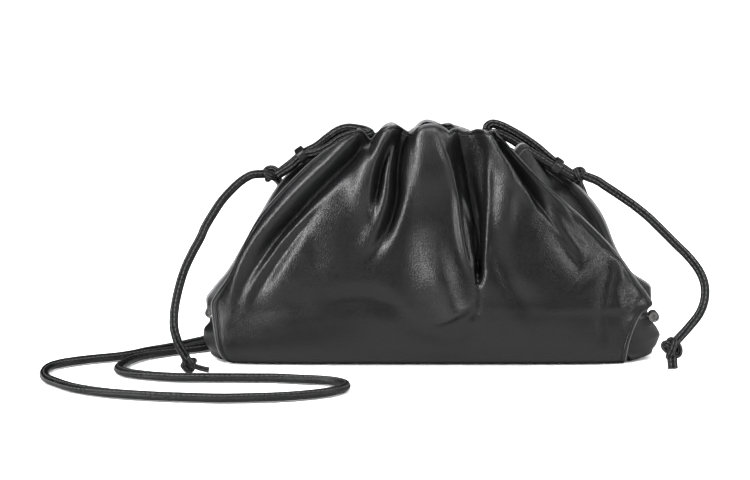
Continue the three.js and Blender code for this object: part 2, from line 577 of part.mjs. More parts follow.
// A pulled-tight overhand knot: three turns of the cord that run over and under each other.
function knotGeometry(knot) {
  const strand = knot.size * 0.39;
  const ring = (knot.size - strand) * 0.33;
  const wave = (knot.size - strand) * 0.17;
  const place = (t) => {
    const reach = ring + wave * Math.cos(1.5 * t);
    return [reach * Math.cos(t), reach * Math.sin(t), 1.9 * wave * Math.sin(1.5 * t)];
  };
  let body = manifoldOf(new THREE.IcosahedronGeometry(ring * 1.2, 0));
  for (let turn = 0; turn < 3; turn += 1) {
    const points = [];
    for (let k = -1; k <= 8; k += 1) points.push(place((4 * Math.PI * (turn + k / 7)) / 3));
    body = wasm.Manifold.union(body, manifoldOf(cordGeometry(points, strand, KNOT_STEPS, KNOT_SIDES)));
  }
  const solid = body.decompose().sort((a, b) => b.volume() - a.volume())[0];
  const turn = new THREE.Euler(...knot.turn.map(THREE.MathUtils.degToRad));
  const geometry = geometryOf(solid).applyMatrix4(new THREE.Matrix4().makeRotationFromEuler(turn));
  geometry.translate(...onBag(knot.at, knot.size / 2 + CLEARANCE));
  const end = TAIL_ENDS.find((row) => row.name === knot.name);
  if (!end) return geometry;
  const thickness = CORD_DIAMETER * end.thickness;
  const ends = [end.from, end.to].map((point) => onBag(point, thickness / 2 + CLEARANCE));
  const tail = cordGeometry(ends, thickness, 1, CORD_SIDES);
  return geometryOf(wasm.Manifold.union(manifoldOf(geometry), manifoldOf(tail)));
}

const leather = new THREE.MeshStandardMaterial({ color: 0x1d1d1f, roughness: 0.42, metalness: 0 });
const lining = new THREE.MeshStandardMaterial({ color: 0x161617, roughness: 0.6, metalness: 0 });
const cordLeather = new THREE.MeshStandardMaterial({ color: 0x202022, roughness: 0.5, metalness: 0 });
const nickel = new THREE.MeshStandardMaterial({ color: 0xa7a9ab, roughness: 0.35, metalness: 1 });

const group = new THREE.Group();
group.name = "gathered_pouch_bag";

function add(name, geometry, material) {
  const mesh = new THREE.Mesh(geometry, material.clone());
  mesh.name = name;
  group.add(mesh);
}

add("front_panel", panelGeometry(front), leather);
add("back_panel", panelGeometry(back), leather);
add("gusset_left", gussetGeometry(-1), lining);
add("gusset_right", gussetGeometry(1), lining);
for (const hinge of HINGES) add(hinge.name, hingeGeometry(hinge), nickel);
for (const keeper of KEEPERS) add(keeper.name, keeperGeometry(keeper), leather);
for (const knot of KNOTS) add(knot.name, knotGeometry(knot), cordLeather);
for (const name of Object.keys(ROUTES))
  add(name, cordGeometry(routePoints(name), CORD_DIAMETER, CORD_STEPS[name], CORD_SIDES), cordLeather);

export default group;
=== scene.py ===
"""A gathered pouch bag of soft black leather with a thin knotted cord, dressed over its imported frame.

Sizes are in millimetres in the tables and in metres in the scene. The bag's front faces -Y.
"""

from __future__ import annotations

import logging
import math
from collections.abc import Iterator
from contextlib import contextmanager
from dataclasses import dataclass
from enum import Enum
from functools import cache

import bpy
import numpy as np
from mathutils import Matrix, Vector

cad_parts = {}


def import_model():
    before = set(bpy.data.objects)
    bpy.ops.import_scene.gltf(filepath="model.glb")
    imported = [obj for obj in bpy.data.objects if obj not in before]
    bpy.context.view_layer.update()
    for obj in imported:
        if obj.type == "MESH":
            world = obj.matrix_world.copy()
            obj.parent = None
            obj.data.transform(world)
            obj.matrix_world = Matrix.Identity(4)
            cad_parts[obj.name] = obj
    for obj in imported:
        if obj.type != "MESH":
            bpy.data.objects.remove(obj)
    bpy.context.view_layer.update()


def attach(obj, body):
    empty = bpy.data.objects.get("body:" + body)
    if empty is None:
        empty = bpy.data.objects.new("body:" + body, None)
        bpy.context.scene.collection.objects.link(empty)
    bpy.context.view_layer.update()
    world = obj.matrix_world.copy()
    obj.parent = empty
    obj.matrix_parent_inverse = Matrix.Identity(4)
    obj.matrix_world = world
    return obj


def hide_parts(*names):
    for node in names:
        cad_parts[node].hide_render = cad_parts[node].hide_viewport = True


log = logging.getLogger("pouch_bag")

MM = 0.001
BODY = "root"

BAG_WIDTH = 214.0
BAG_HEIGHT = 113.5
BAG_DEPTH = 50.0
LEATHER = 1.6
GUSSET_LEATHER = 1.2
MOUTH_SLIT = 5.4
CORD_DIAMETER = 4.3
HALF_WIDTH = BAG_WIDTH / 2
HALF_DEPTH = BAG_DEPTH / 2
ON_FLOOR = CORD_DIAMETER / 2 + 0.3

Array = np.ndarray
Obj = bpy.types.Object
Tree = bpy.types.NodeTree
Node = bpy.types.Node
Socket = bpy.types.NodeSocket
Material = bpy.types.Material
Outputs = dict[str, Socket]
Point = tuple[float, float, float]


# Shared geometry


def smooth(value: Array, low: float, high: float) -> Array:
    """A soft step from 0 at low to 1 at high."""
    t = np.clip((np.asarray(value, float) - low) / (high - low), 0.0, 1.0)
    return t * t * (3.0 - 2.0 * t)


def unit(vectors: Array) -> Array:
    """The vectors at a length of one."""
    return vectors / np.linalg.norm(vectors, axis=1)[:, None]


def run_along(points: Array) -> Array:
    """How far along a line of points each of them lies."""
    return np.concatenate([[0], np.cumsum(np.linalg.norm(np.diff(points, axis=0), axis=1))])


def monotone(keys: Array, values: Array, at: Array) -> Array:
    """Reads a table on a smooth curve that never swings past its rows.

    Args:
        keys: The rows' keys, rising.
        values: One value for each row.
        at: The keys to read it at.

    Returns:
        The values there.
    """
    slopes = np.diff(values) / np.diff(keys)
    before, after = slopes[:-1], slopes[1:]
    total = np.where(before + after == 0, 1.0, before + after)
    inner = np.where(before * after <= 0, 0.0, 2.0 * before * after / total)
    tangents = np.concatenate([[slopes[0]], inner, [slopes[-1]]])
    row = np.clip(np.searchsorted(keys, at, side="right"), 1, len(keys) - 1)
    run = keys[row] - keys[row - 1]
    s = np.clip((at - keys[row - 1]) / run, 0.0, 1.0)
    swing = tangents[row - 1] * s * (1 - s) ** 2 - tangents[row] * s * s * (1 - s)
    return values[row - 1] + (values[row] - values[row - 1]) * smooth(s, 0, 1) + run * swing


def spline(points: Array, count: int) -> Array:
    """Even points on a centripetal curve through the given ones.

    Args:
        points: The points that it passes through, one in a row.
        count: How many points to return.

    Returns:
        The points, evenly spaced along the curve.
    """
    p = np.asarray(points, float)
    p = np.vstack([2 * p[0] - p[1], p, 2 * p[-1] - p[-2]])
    fine = []
    for k in range(1, len(p) - 2):
        a, b, c, d = p[k - 1 : k + 3]
        t1, t2, t3 = np.cumsum(np.linalg.norm(np.diff(p[k - 1 : k + 3], axis=0), axis=1) ** 0.5 + 1e-9)
        t = np.linspace(t1, t2, 24, endpoint=False)[:, None]
        ab = (t1 - t) / t1 * a + t / t1 * b
        bc = (t2 - t) / (t2 - t1) * b + (t - t1) / (t2 - t1) * c
        cd = (t3 - t) / (t3 - t2) * c + (t - t2) / (t3 - t2) * d
        abc = (t2 - t) / t2 * ab + t / t2 * bc
        bcd = (t3 - t) / (t3 - t1) * bc + (t - t1) / (t3 - t1) * cd
        fine.append((t2 - t) / (t2 - t1) * abc + (t - t1) / (t2 - t1) * bcd)
    fine = np.vstack(fine + [p[-2][None]])
    run = run_along(fine)
    want = np.linspace(0, run[-1], count)
    return np.column_stack([np.interp(want, run, fine[:, k]) for k in range(p.shape[1])])


def ripple(x: Array, z: Array, size: float, seed: float) -> Array:
    """A smooth, uneven ripple between about -1 and 1, made of a few crossing waves."""
    total = np.zeros_like(x)
    for k in range(5):
        turn = seed + 2.4 * k
        wave = 2 * math.pi / (size * (0.6 + 0.23 * k))
        shift = 1.3 * np.sin(0.37 * wave * (x * math.sin(turn) - z * math.cos(turn)) + turn)
        total += np.sin(wave * (x * math.cos(turn) + z * math.sin(turn)) + 3.1 * turn + shift)
    return total / 3.2


def crowd(place: Array, at: tuple[Point, ...]) -> Array:
    """Spaces even places from 0 to 1 unevenly.

    Args:
        place: The even places.
        at: Rows of centre, reach and how many times closer they lie there.

    Returns:
        The places, from 0 to 1 still.
    """
    fine = np.linspace(0, 1, 2001)
    density = np.ones_like(fine)
    for centre, reach, times in at:
        density += (times - 1) * np.exp(-(((fine - centre) / reach) ** 2))
    total = np.concatenate([[0], np.cumsum((density[1:] + density[:-1]) / 2)])
    return np.interp(place, total / total[-1], fine)


# Blender steps that the pieces share


def select_only(obj: Obj) -> None:
    """Makes obj the one selected and active object."""
    bpy.ops.object.select_all(action="DESELECT")
    obj.select_set(True)
    bpy.context.view_layer.objects.active = obj


@contextmanager
def editing(obj: Obj, action: str | None = "SELECT") -> Iterator[None]:
    """Opens obj in edit mode with all of it selected, none of it, or what was chosen before."""
    select_only(obj)
    bpy.ops.object.mode_set(mode="EDIT")
    if action:
        bpy.ops.mesh.select_all(action=action)
    yield
    bpy.ops.object.mode_set(mode="OBJECT")


def smooth_faces(obj: Obj, degrees: float = 50.0) -> None:
    """Shades obj smoothly, with creases where its faces meet at more than degrees."""
    select_only(obj)
    bpy.ops.object.shade_smooth_by_angle(angle=math.radians(degrees))


def add_object(name: str, data: bpy.types.ID) -> Obj:
    """Puts an object with this data into the scene."""
    obj = bpy.data.objects.new(name, data)
    bpy.context.scene.collection.objects.link(obj)
    return obj


def join(obj: Obj, *parts: Obj) -> Obj:
    """Joins the parts into obj."""
    select_only(obj)
    for part in parts:
        part.select_set(True)
    bpy.ops.object.join()
    return obj


def point_values(obj: Obj, **values: Array) -> None:
    """Stores one number for each of obj's vertices, under each name."""
    for name, numbers in values.items():
        attribute = obj.data.attributes.new(name, "FLOAT", "POINT")
        attribute.data.foreach_set("value", np.asarray(numbers, np.float32))


def unit_grid(columns: int, rows: int) -> tuple[Array, Array]:
    """Adds a square grid as a primitive, to be shaped into a sheet.

    Args:
        columns: Faces across.
        rows: Faces up.

    Returns:
        Each vertex's place across, from -1 to 1, and up, from 0 to 1.
    """
    bpy.ops.mesh.primitive_grid_add(x_subdivisions=columns, y_subdivisions=rows, size=2.0)
    obj = bpy.context.object
    place = np.empty(len(obj.data.vertices) * 3, np.float32)
    obj.data.vertices.foreach_get("co", place)
    place = place.reshape(-1, 3).astype(float)
    return np.clip(place[:, 0], -1, 1), np.clip((place[:, 1] + 1) / 2, 0, 1)


def move_vertices(obj: Obj, points: Array) -> None:
    """Puts obj's vertices at points, given in millimetres."""
    obj.data.vertices.foreach_set("co", (points * MM).astype(np.float32).ravel())
    obj.data.update()


def turn_outwards(obj: Obj, away: Point) -> None:
    """Flips obj's faces if they look against the direction away."""
    normals = np.empty(len(obj.data.polygons) * 3, np.float32)
    obj.data.polygons.foreach_get("normal", normals)
    if float((normals.reshape(-1, 3) @ np.array(away)).sum()) < 0:
        with editing(obj):
            bpy.ops.mesh.flip_normals()


def give_thickness(obj: Obj, thickness: float, rounding: float) -> None:
    """Turns a sheet into a smooth leather wall with rounded edges.

    Args:
        obj: The sheet, with its faces outwards.
        thickness: The leather's thickness in millimetres, added on the inside.
        rounding: How far its cut edges are rounded, in millimetres.
    """
    wall = obj.modifiers.new("wall", "SOLIDIFY")
    wall.thickness = thickness * MM
    wall.offset = -1.0
    wall.use_even_offset = False
    wall.use_rim = True
    select_only(obj)
    bpy.ops.object.modifier_apply(modifier=wall.name)
    with editing(obj, "DESELECT"):
        bpy.ops.mesh.select_mode(type="EDGE")
        bpy.ops.mesh.edges_select_sharp(sharpness=math.radians(65))
        bpy.ops.mesh.bevel(offset=rounding * MM, segments=2, affect="EDGES", clamp_overlap=True)
    smooth_faces(obj)


def tube_mesh(name: str, path: Array, outline: Array, facing: Point, twist: Array | float = 0.0,
              open_end: bool = False) -> Obj:
    """Sweeps an outline along a path as a closed tube, with a UV map along and around it.

    Args:
        name: The piece's name.
        path: The centreline, in millimetres.
        outline: The section, as x, y points round the centreline, in millimetres.
        facing: The way that the outline's first point looks.
        twist: How far the section turns from that at each point of the path, in radians.
        open_end: Whether its last end is cut open, as a folded strip is.

    Returns:
        The piece.
    """
    tangent, look = unit(np.gradient(path, axis=0)), np.array(facing)
    across = look[None] - tangent * (tangent @ look)[:, None]
    across /= np.maximum(np.linalg.norm(across, axis=1), 0.15)[:, None]
    for _ in range(3):
        across[1:-1] = (across[:-2] + 2 * across[1:-1] + across[2:]) / 4
    across = unit(across - tangent * (across * tangent).sum(axis=1)[:, None])
    over = np.cross(tangent, across)
    turn = np.broadcast_to(twist, len(path))[:, None, None]
    x, y = outline[None, :, 0, None], outline[None, :, 1, None]
    c, s = np.cos(turn), np.sin(turn)
    ring = (x * c - y * s) * across[:, None] + (x * s + y * c) * over[:, None]
    rings = list(path[:, None] + ring)
    dome = 0.25
    end = path[-1] + tangent[-1] * dome
    if open_end:
        for share, depth in ((0.93, 0.12), (0.74, 0.10), (0.66, -0.25), (0.60, -1.3)):
            rings.append(path[-1] + tangent[-1] * depth + ring[-1] * share)
        end = path[-1] - tangent[-1] * 1.4
    run = run_along(path)
    run = np.concatenate([run, np.full(len(rings) - len(run), run[-1])]) * MM
    verts = np.vstack([np.array(rings).reshape(-1, 3), path[0] - tangent[0] * dome, end])
    around = len(outline)
    j, i = np.meshgrid(np.arange(len(rings) - 1), np.arange(around), indexing="ij")
    n = (i + 1) % around
    faces = np.stack([j * around + i, j * around + n, (j + 1) * around + n, (j + 1) * around + i], -1)
    faces = faces.reshape(-1, 4).tolist()
    uvs = np.stack([run[j], i / around, run[j], (i + 1) / around, run[j + 1], (i + 1) / around,
                    run[j + 1], i / around], -1).reshape(-1, 2).tolist()
    first, top = len(rings) * around, (len(rings) - 1) * around
    for k in range(around):
        m = (k + 1) % around
        faces += [(first, m, k), (first + 1, top + k, top + m)]
        uvs += [(0, 0.5), (0, (k + 1) / around), (0, k / around)]
        uvs += [(run[-1], 0.5), (run[-1], k / around), (run[-1], (k + 1) / around)]
    mesh = bpy.data.meshes.new(name)
    mesh.from_pydata((verts * MM).tolist(), [], faces)
    mesh.uv_layers.new(name="UVMap").data.foreach_set("uv", np.array(uvs, np.float32).ravel())
    obj = add_object(name, mesh)
    with editing(obj):
        bpy.ops.mesh.normals_make_consistent(inside=False)
    smooth_faces(obj, 75)
    return obj


# Shader building


@dataclass(frozen=True)
class Graph:
    """A shader tree, with short ways to add the nodes that the finishes need."""

    tree: Tree

    def fill(self, node: Node, inputs: dict) -> Node:
        """Links a node's inputs to sockets, or sets them to values."""
        for key, value in inputs.items():
            if isinstance(value, Socket):
                self.tree.links.new(value, node.inputs[key])
            else:
                node.inputs[key].default_value = value
        return node

    def add(self, kind: str, inputs: dict | None = None, **settings: object) -> Node:
        """Adds a shader node with its settings and inputs."""
        node = self.tree.nodes.new("ShaderNode" + kind)
        for key, value in settings.items():
            setattr(node, key, value)
        return self.fill(node, inputs or {})

    def calc(self, operation: str, *values: Socket | float) -> Socket:
        """Adds a Math node and returns its result."""
        return self.add("Math", dict(enumerate(values)), operation=operation).outputs[0]

    def distance(self, value: Socket, centre: float) -> Socket:
        """How far a value is from a centre."""
        return self.calc("ABSOLUTE", self.calc("SUBTRACT", value, centre))

    def ramp(self, value: Socket, low: float, high: float) -> Socket:
        """A soft step from 0 at low to 1 at high."""
        inputs = {"Value": value, "From Min": low, "From Max": high, "To Min": 0.0, "To Max": 1.0}
        return self.add("MapRange", inputs, interpolation_type="SMOOTHSTEP").outputs["Result"]

    def noise(self, at: Socket, scale: Socket | float, detail: float) -> Socket:
        """Adds a noise and returns its value."""
        return self.add("TexNoise", {"Vector": at, "Scale": scale, "Detail": detail}).outputs["Fac"]

    def blend(self, mask: Socket, low: float, high: float) -> Socket:
        """A number that goes from low to high with the mask."""
        return self.calc("MULTIPLY_ADD", mask, high - low, low)

    def blend_colours(self, mask: Socket, low: Point, high: Point) -> Socket:
        """A colour that goes from low to high with the mask."""
        inputs = {"Factor": mask, "A": (*low, 1.0), "B": (*high, 1.0)}
        return self.add("Mix", inputs, data_type="RGBA", clamp_factor=False).outputs["Result"]

    def group(self, tree: Tree, **inputs: Socket | float) -> Outputs:
        """Places a node group and returns its outputs."""
        return self.add("Group", inputs, node_tree=tree).outputs

    def bump(self, height: Socket, strength: float, distance: float) -> Socket:
        """The normal of a surface with this height, whose full step is distance metres."""
        inputs = {"Strength": strength, "Distance": distance, "Height": height}
        return self.add("Bump", inputs).outputs["Normal"]

    def reflect_apart(self, seen: Node, reflected: Node, output: str) -> None:
        """Shows one shader to the eye and the other one to reflections."""
        glossy = self.add("LightPath").outputs["Is Glossy Ray"]
        mix = self.add("MixShader", {0: glossy, 1: seen.outputs[0], 2: reflected.outputs[0]})
        self.fill(self.tree.nodes[output], {"Surface": mix.outputs[0]})


def new_group(name: str, inputs: dict[str, float | None],
              outputs: tuple[str, ...]) -> tuple[Graph, Outputs, Node]:
    """Starts a shader node group.

    Args:
        name: The group's name.
        inputs: Each input with its usual number, or None for a vector.
        outputs: The names of the numbers that it gives.

    Returns:
        The group's graph, its incoming sockets and its output node.
    """
    tree = bpy.data.node_groups.new(name, "ShaderNodeTree")
    for key, number in inputs.items():
        kind = "NodeSocketVector" if number is None else "NodeSocketFloat"
        socket = tree.interface.new_socket(name=key, in_out="INPUT", socket_type=kind)
        if number is not None:
            socket.default_value = number
    for key in outputs:
        tree.interface.new_socket(name=key, in_out="OUTPUT", socket_type="NodeSocketFloat")
    return Graph(tree), tree.nodes.new("NodeGroupInput").outputs, tree.nodes.new("NodeGroupOutput")


@cache
def grain_group() -> Tree:
    """Fine leather grain: a height, and a tone that drifts over the surface."""
    graph, given, end = new_group(
        "leather grain", {"Vector": None, "Size": 900.0, "Wrinkle": 0.3}, ("Height", "Tone"))
    at = given["Vector"]
    pebble = graph.add("TexVoronoi", {"Vector": at, "Scale": given["Size"]}, feature="DISTANCE_TO_EDGE")
    soft = graph.noise(at, graph.calc("MULTIPLY", given["Size"], 0.45), 3.0)
    broad = graph.noise(at, 28.0, 4.0)
    pull = graph.noise(at, 160.0, 2.0)
    cells = graph.ramp(pebble.outputs["Distance"], 0.0, 0.22)
    height = graph.calc("MULTIPLY_ADD", cells, 0.55, graph.calc("MULTIPLY", soft, 0.6))
    wrinkle = graph.calc("MULTIPLY", pull, given["Wrinkle"])
    graph.fill(end, {"Height": graph.calc("ADD", height, wrinkle), "Tone": graph.ramp(broad, 0.3, 0.7)})
    return graph.tree


@cache
def wear_group() -> Tree:
    """Wear on ridges: a mask from how far the leather stands out, broken up by the grain."""
    graph, given, end = new_group("ridge wear", {"Ridge": 0.0, "Tone": 0.5, "Amount": 1.0}, ("Mask",))
    patchy = graph.calc("MULTIPLY_ADD", given["Tone"], 0.7, 0.3)
    broken = graph.calc("MULTIPLY", graph.ramp(given["Ridge"], 0.15, 0.9), patchy)
    graph.fill(end, {"Mask": graph.calc("MULTIPLY", broken, given["Amount"])})
    return graph.tree


@cache
def seam_group() -> Tree:
    """The groove and the stitches beside a cord's folded edge, read from the cord's UV map."""
    graph, given, end = new_group(
        "cord seam", {"UV": None, "Place": 0.5, "Stitch": 430.0}, ("Groove", "Thread"))
    parts = graph.add("SeparateXYZ", {0: given["UV"]}).outputs
    turned = graph.calc("SUBTRACT", parts["Y"], given["Place"])
    off = graph.calc("PINGPONG", graph.calc("ABSOLUTE", turned), 0.5)
    beat = graph.calc("FRACT", graph.calc("MULTIPLY", parts["X"], given["Stitch"]))
    dash = graph.ramp(graph.distance(beat, 0.5), 0.4, 0.3)
    thread = graph.calc("MULTIPLY", dash, graph.ramp(graph.distance(off, 0.067), 0.02, 0.008))
    graph.fill(end, {"Groove": graph.ramp(off, 0.0, 0.03), "Thread": thread})
    return graph.tree


def start_material(name: str) -> tuple[Material, Graph, Node]:
    """A new material with only a Principled shader and its output."""
    material = bpy.data.materials.new(name)
    material.use_nodes = True
    return material, Graph(material.node_tree), material.node_tree.nodes["Principled BSDF"]


# Finishes


@dataclass(frozen=True)
class BagLeather:
    """Smooth black leather with fine grain, a soft sheen, slightly paler ridges and, where asked, a painted
    highlight along its cut edges.
    """

    name: str
    colour: Point = (0.003, 0.003, 0.0033)
    # worn is the tone of worn ridges; the edge mask also pushes the colour along it, far past it, as a painted
    # highlight.
    worn: Point = (0.007, 0.007, 0.0074)
    roughness: float = 0.285
    roughness_worn: float = 0.255
    grain_size: float = 950.0
    grain_depth: float = 0.09
    wrinkle: float = 0.15
    hem_width: float = 2.2
    hem_depth: float = 0.0
    # How strongly a painted highlight lightens the colour along the cut edges, standing for light caught on the
    # rounded edge.
    edge_highlight: float = 0.0
    foot_dulling: float = 0.85
    sheen: float = 0.34

    def build(self) -> Material:
        """Builds the leather, with wear on its ridges, a painted highlight along its cut edges and a duller
        foot.

        Returns:
            The finished material.
        """
        material, graph, shader = start_material(self.name)
        place = graph.add("TexCoord").outputs["Object"]
        ridge = graph.add("Attribute", attribute_name="ridge").outputs["Fac"]
        hem = graph.add("Attribute", attribute_name="hem").outputs["Fac"]
        grain = graph.group(grain_group(), Vector=place, Size=self.grain_size, Wrinkle=self.wrinkle)
        worn = graph.group(wear_group(), Ridge=ridge, Tone=grain["Tone"], Amount=1.0)["Mask"]
        # Painted highlight: within about 0.7 mm of a cut edge the colour is pushed many times past the worn
        # tone, standing for light caught on the rounded edge.
        edge = graph.calc("MULTIPLY", graph.ramp(hem, 0.7, 0.1), self.edge_highlight)
        rough = graph.blend(worn, self.roughness, self.roughness_worn)
        uneven = graph.calc("MULTIPLY_ADD", grain["Tone"], 0.06, rough)
        up = graph.add("SeparateXYZ", {0: place}).outputs["Z"]
        foot = graph.calc("MULTIPLY", graph.ramp(up, 3.4 * MM, 0.8 * MM), self.foot_dulling)
        height = grain["Height"]
        if self.hem_depth > 0:
            line = graph.ramp(graph.distance(hem, self.hem_width), 0.0, 0.5)
            height = graph.calc("MULTIPLY_ADD", line, self.hem_depth / self.grain_depth, height)
        graph.fill(shader, {
            "Base Color": graph.blend_colours(graph.calc("MAXIMUM", worn, edge), self.colour, self.worn),
            "Roughness": graph.calc("MAXIMUM", uneven, foot),
            "Normal": graph.bump(height, 0.9, self.grain_depth * MM),
            "Specular IOR Level": self.sheen,
        })
        return material


@dataclass(frozen=True)
class CordLeather:
    """Black leather cord, folded from a strip, with its edges stitched together."""

    name: str = "cord leather"
    colour: Point = (0.0022, 0.0022, 0.0024)
    thread: Point = (0.05, 0.05, 0.051)
    roughness: float = 0.22
    grain_size: float = 1500.0
    wrinkle: float = 0.6
    seam_depth: float = 0.15
    stitches: float = 430.0
    sheen: float = 0.24

    def build(self) -> Material:
        """Builds the cord's leather, with its seam and thread.

        Returns:
            The finished material.
        """
        material, graph, shader = start_material(self.name)
        place = graph.add("TexCoord").outputs
        grain = graph.group(
            grain_group(), Vector=place["Object"], Size=self.grain_size, Wrinkle=self.wrinkle)
        seam = graph.group(seam_group(), UV=place["UV"], Place=0.0, Stitch=self.stitches)
        groove = graph.calc("MULTIPLY_ADD", seam["Groove"], 3.0, grain["Height"])
        height = graph.calc("MULTIPLY_ADD", seam["Thread"], 1.6, groove)
        graph.fill(shader, {
            "Base Color": graph.blend_colours(seam["Thread"], self.colour, self.thread),
            "Roughness": graph.blend(grain["Tone"], self.roughness, self.roughness + 0.12),
            "Normal": graph.bump(height, 0.9, self.seam_depth * MM),
            "Specular IOR Level": self.sheen,
        })
        return material


@dataclass(frozen=True)
class SatinNickel:
    """Brushed nickel, a little darker in its scratches."""

    name: str = "satin nickel"
    colour: Point = (0.30, 0.295, 0.285)
    dull: Point = (0.16, 0.16, 0.155)

    def build(self) -> Material:
        """Builds the metal, with its scratches along the barrel.

        Returns:
            The finished material.
        """
        material, graph, shader = start_material(self.name)
        place = graph.add("TexCoord").outputs["Object"]
        along = graph.add("Mapping", {"Vector": place, "Scale": (1.0, 0.06, 1.0)}).outputs["Vector"]
        scratch = graph.noise(along, 2600.0, 3.0)
        graph.fill(shader, {
            "Base Color": graph.blend_colours(scratch, self.dull, self.colour),
            "Roughness": graph.blend(scratch, 0.42, 0.26),
            "Normal": graph.bump(scratch, 0.5, 0.02 * MM),
            "Metallic": 1.0,
        })
        return material


# What every piece shares


@dataclass
class Piece:
    """A piece of the bag, which takes the place of one node of the frame."""

    node: str
    suffix = "leather"
    slot = "leather"

    @property
    def name(self) -> str:
        """The piece's own name."""
        return f"{self.node}_{self.suffix}"

    def named(self) -> Obj:
        """Gives the primitive that was just added the piece's name."""
        bpy.context.object.name = bpy.context.object.data.name = self.name
        return bpy.context.object

    def model(self) -> Obj:
        """Models the piece's shape."""
        raise NotImplementedError

    def declare(self, obj: Obj) -> None:
        """Does nothing: no piece states what it is made of."""

    def build(self, finish: Material) -> Obj:
        """Models the piece and gives it its finish, its node and its body.

        Args:
            finish: What it is made of.

        Returns:
            The piece.
        """
        obj = self.model()
        obj.data.materials.append(finish)
        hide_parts(self.node)
        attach(obj, BODY)
        self.declare(obj)
        log.info("built %s", obj.name)
        return obj


# The bag's sheets


@dataclass(frozen=True)
class Section:
    """A level section of a sheet, in shares of the bag's height, half width and half depth."""

    height: float
    left: float
    right: float
    belly: float
    edge: float
    square: float


@dataclass(frozen=True)
class Fold:
    """A ridge (lift above 0) or a valley (below 0) that runs along a path on the sheet.

    path is x, z, x, z and so on in millimetres from its upper end, left and right are its flanks'
    widths on the two sides of it, and start and end are the shares over which it rises and dies out.
    """

    name: str
    path: tuple[float, ...]
    left: float
    right: float
    lift: float
    power: float = 2.0
    start: float = 0.02
    end: float = 0.35
    spread: float = 1.0

    def height(self, x: Array, z: Array) -> Array:
        """How far the fold lifts the sheet at each place.

        Args:
            x: Places across the bag, in millimetres.
            z: Their heights, in millimetres.

        Returns:
            The lift there, in millimetres.
        """
        line = spline(np.reshape(self.path, (-1, 2)), 15)
        best, side, share = np.full(x.shape, 1e9), np.zeros_like(x), np.zeros_like(x)
        count = len(line) - 1
        beyond = 9.0
        for k in range(count):
            a, run = line[k], line[k + 1] - line[k]
            t = ((x - a[0]) * run[0] + (z - a[1]) * run[1]) / float(run @ run)
            t = np.clip(t, 0.0 if k else -beyond, 1.0 if k < count - 1 else beyond)
            ox, oz = x - a[0] - t * run[0], z - a[1] - t * run[1]
            off = np.hypot(ox, oz)
            near = off < best
            best = np.where(near, off, best)
            side = np.where(near, run[0] * oz - run[1] * ox, side)
            share = np.where(near, (k + t) / count, share)
        flank = np.where(side > 0, self.right, self.left) * (1 + (self.spread - 1) * np.clip(share, 0, 1))
        profile = np.exp(-((best / flank) ** self.power))
        rise = smooth(share, -self.start, self.start) if self.start > 0.02 else 1.0
        fade = 1.0 - smooth(share, 1 - self.end, 1.0 + 0.3 * self.end)
        return self.lift * profile * rise * fade


FRONT_SECTIONS = tuple(Section(*row) for row in (
    (0, -0.91, 0.878, 0, 0, 8),
    (0, -0.91, 0.878, 0.6, 0.45, 8),
    (0.02, -0.945, 0.882, 0.8, 0.6, 6),
    (0.07, -0.972, 0.888, 0.92, 0.65, 5),
    (0.16, -0.99, 0.92, 0.98, 0.56, 3.8),
    (0.215, -0.999, 0.955, 1, 0.44, 3.2),
    (0.25, -1.003, 1.005, 1, 0.36, 3),
    (0.285, -0.985, 0.985, 0.99, 0.34, 2.9),
    (0.36, -0.93, 0.927, 0.98, 0.33, 2.8),
    (0.46, -0.878, 0.85, 0.92, 0.32, 2.6),
    (0.61, -0.794, 0.696, 0.79, 0.31, 2.5),
    (0.72, -0.698, 0.564, 0.67, 0.31, 2.4),
    (0.81, -0.606, 0.462, 0.57, 0.31, 2.3),
    (0.895, -0.51, 0.382, 0.46, 0.3, 2.2),
    (0.96, -0.415, 0.32, 0.36, 0.29, 2.1),
    (1, -0.345, 0.287, 0.31, 0.28, 2),
))
BACK_SECTIONS = tuple(Section(*row) for row in (
    (0, -0.91, 0.9, 0, 0, 8),
    (0, -0.91, 0.9, 0.6, 0.45, 8),
    (0.02, -0.945, 0.912, 0.8, 0.6, 6),
    (0.07, -0.985, 0.935, 0.93, 0.65, 5),
    (0.15, -1.03, 0.99, 1, 0.56, 3.8),
    (0.24, -1.04, 1.022, 1.02, 0.36, 3),
    (0.295, -1.003, 1.018, 1.01, 0.34, 2.9),
    (0.36, -0.945, 0.928, 1, 0.33, 2.8),
    (0.46, -0.88, 0.858, 0.95, 0.32, 2.6),
    (0.61, -0.79, 0.79, 0.81, 0.31, 2.5),
    (0.72, -0.72, 0.7, 0.68, 0.31, 2.4),
    (0.81, -0.64, 0.575, 0.57, 0.31, 2.3),
    (0.895, -0.505, 0.41, 0.46, 0.3, 2.2),
    (0.96, -0.38, 0.3, 0.36, 0.29, 2.1),
    (1, -0.315, 0.26, 0.31, 0.28, 2),
))
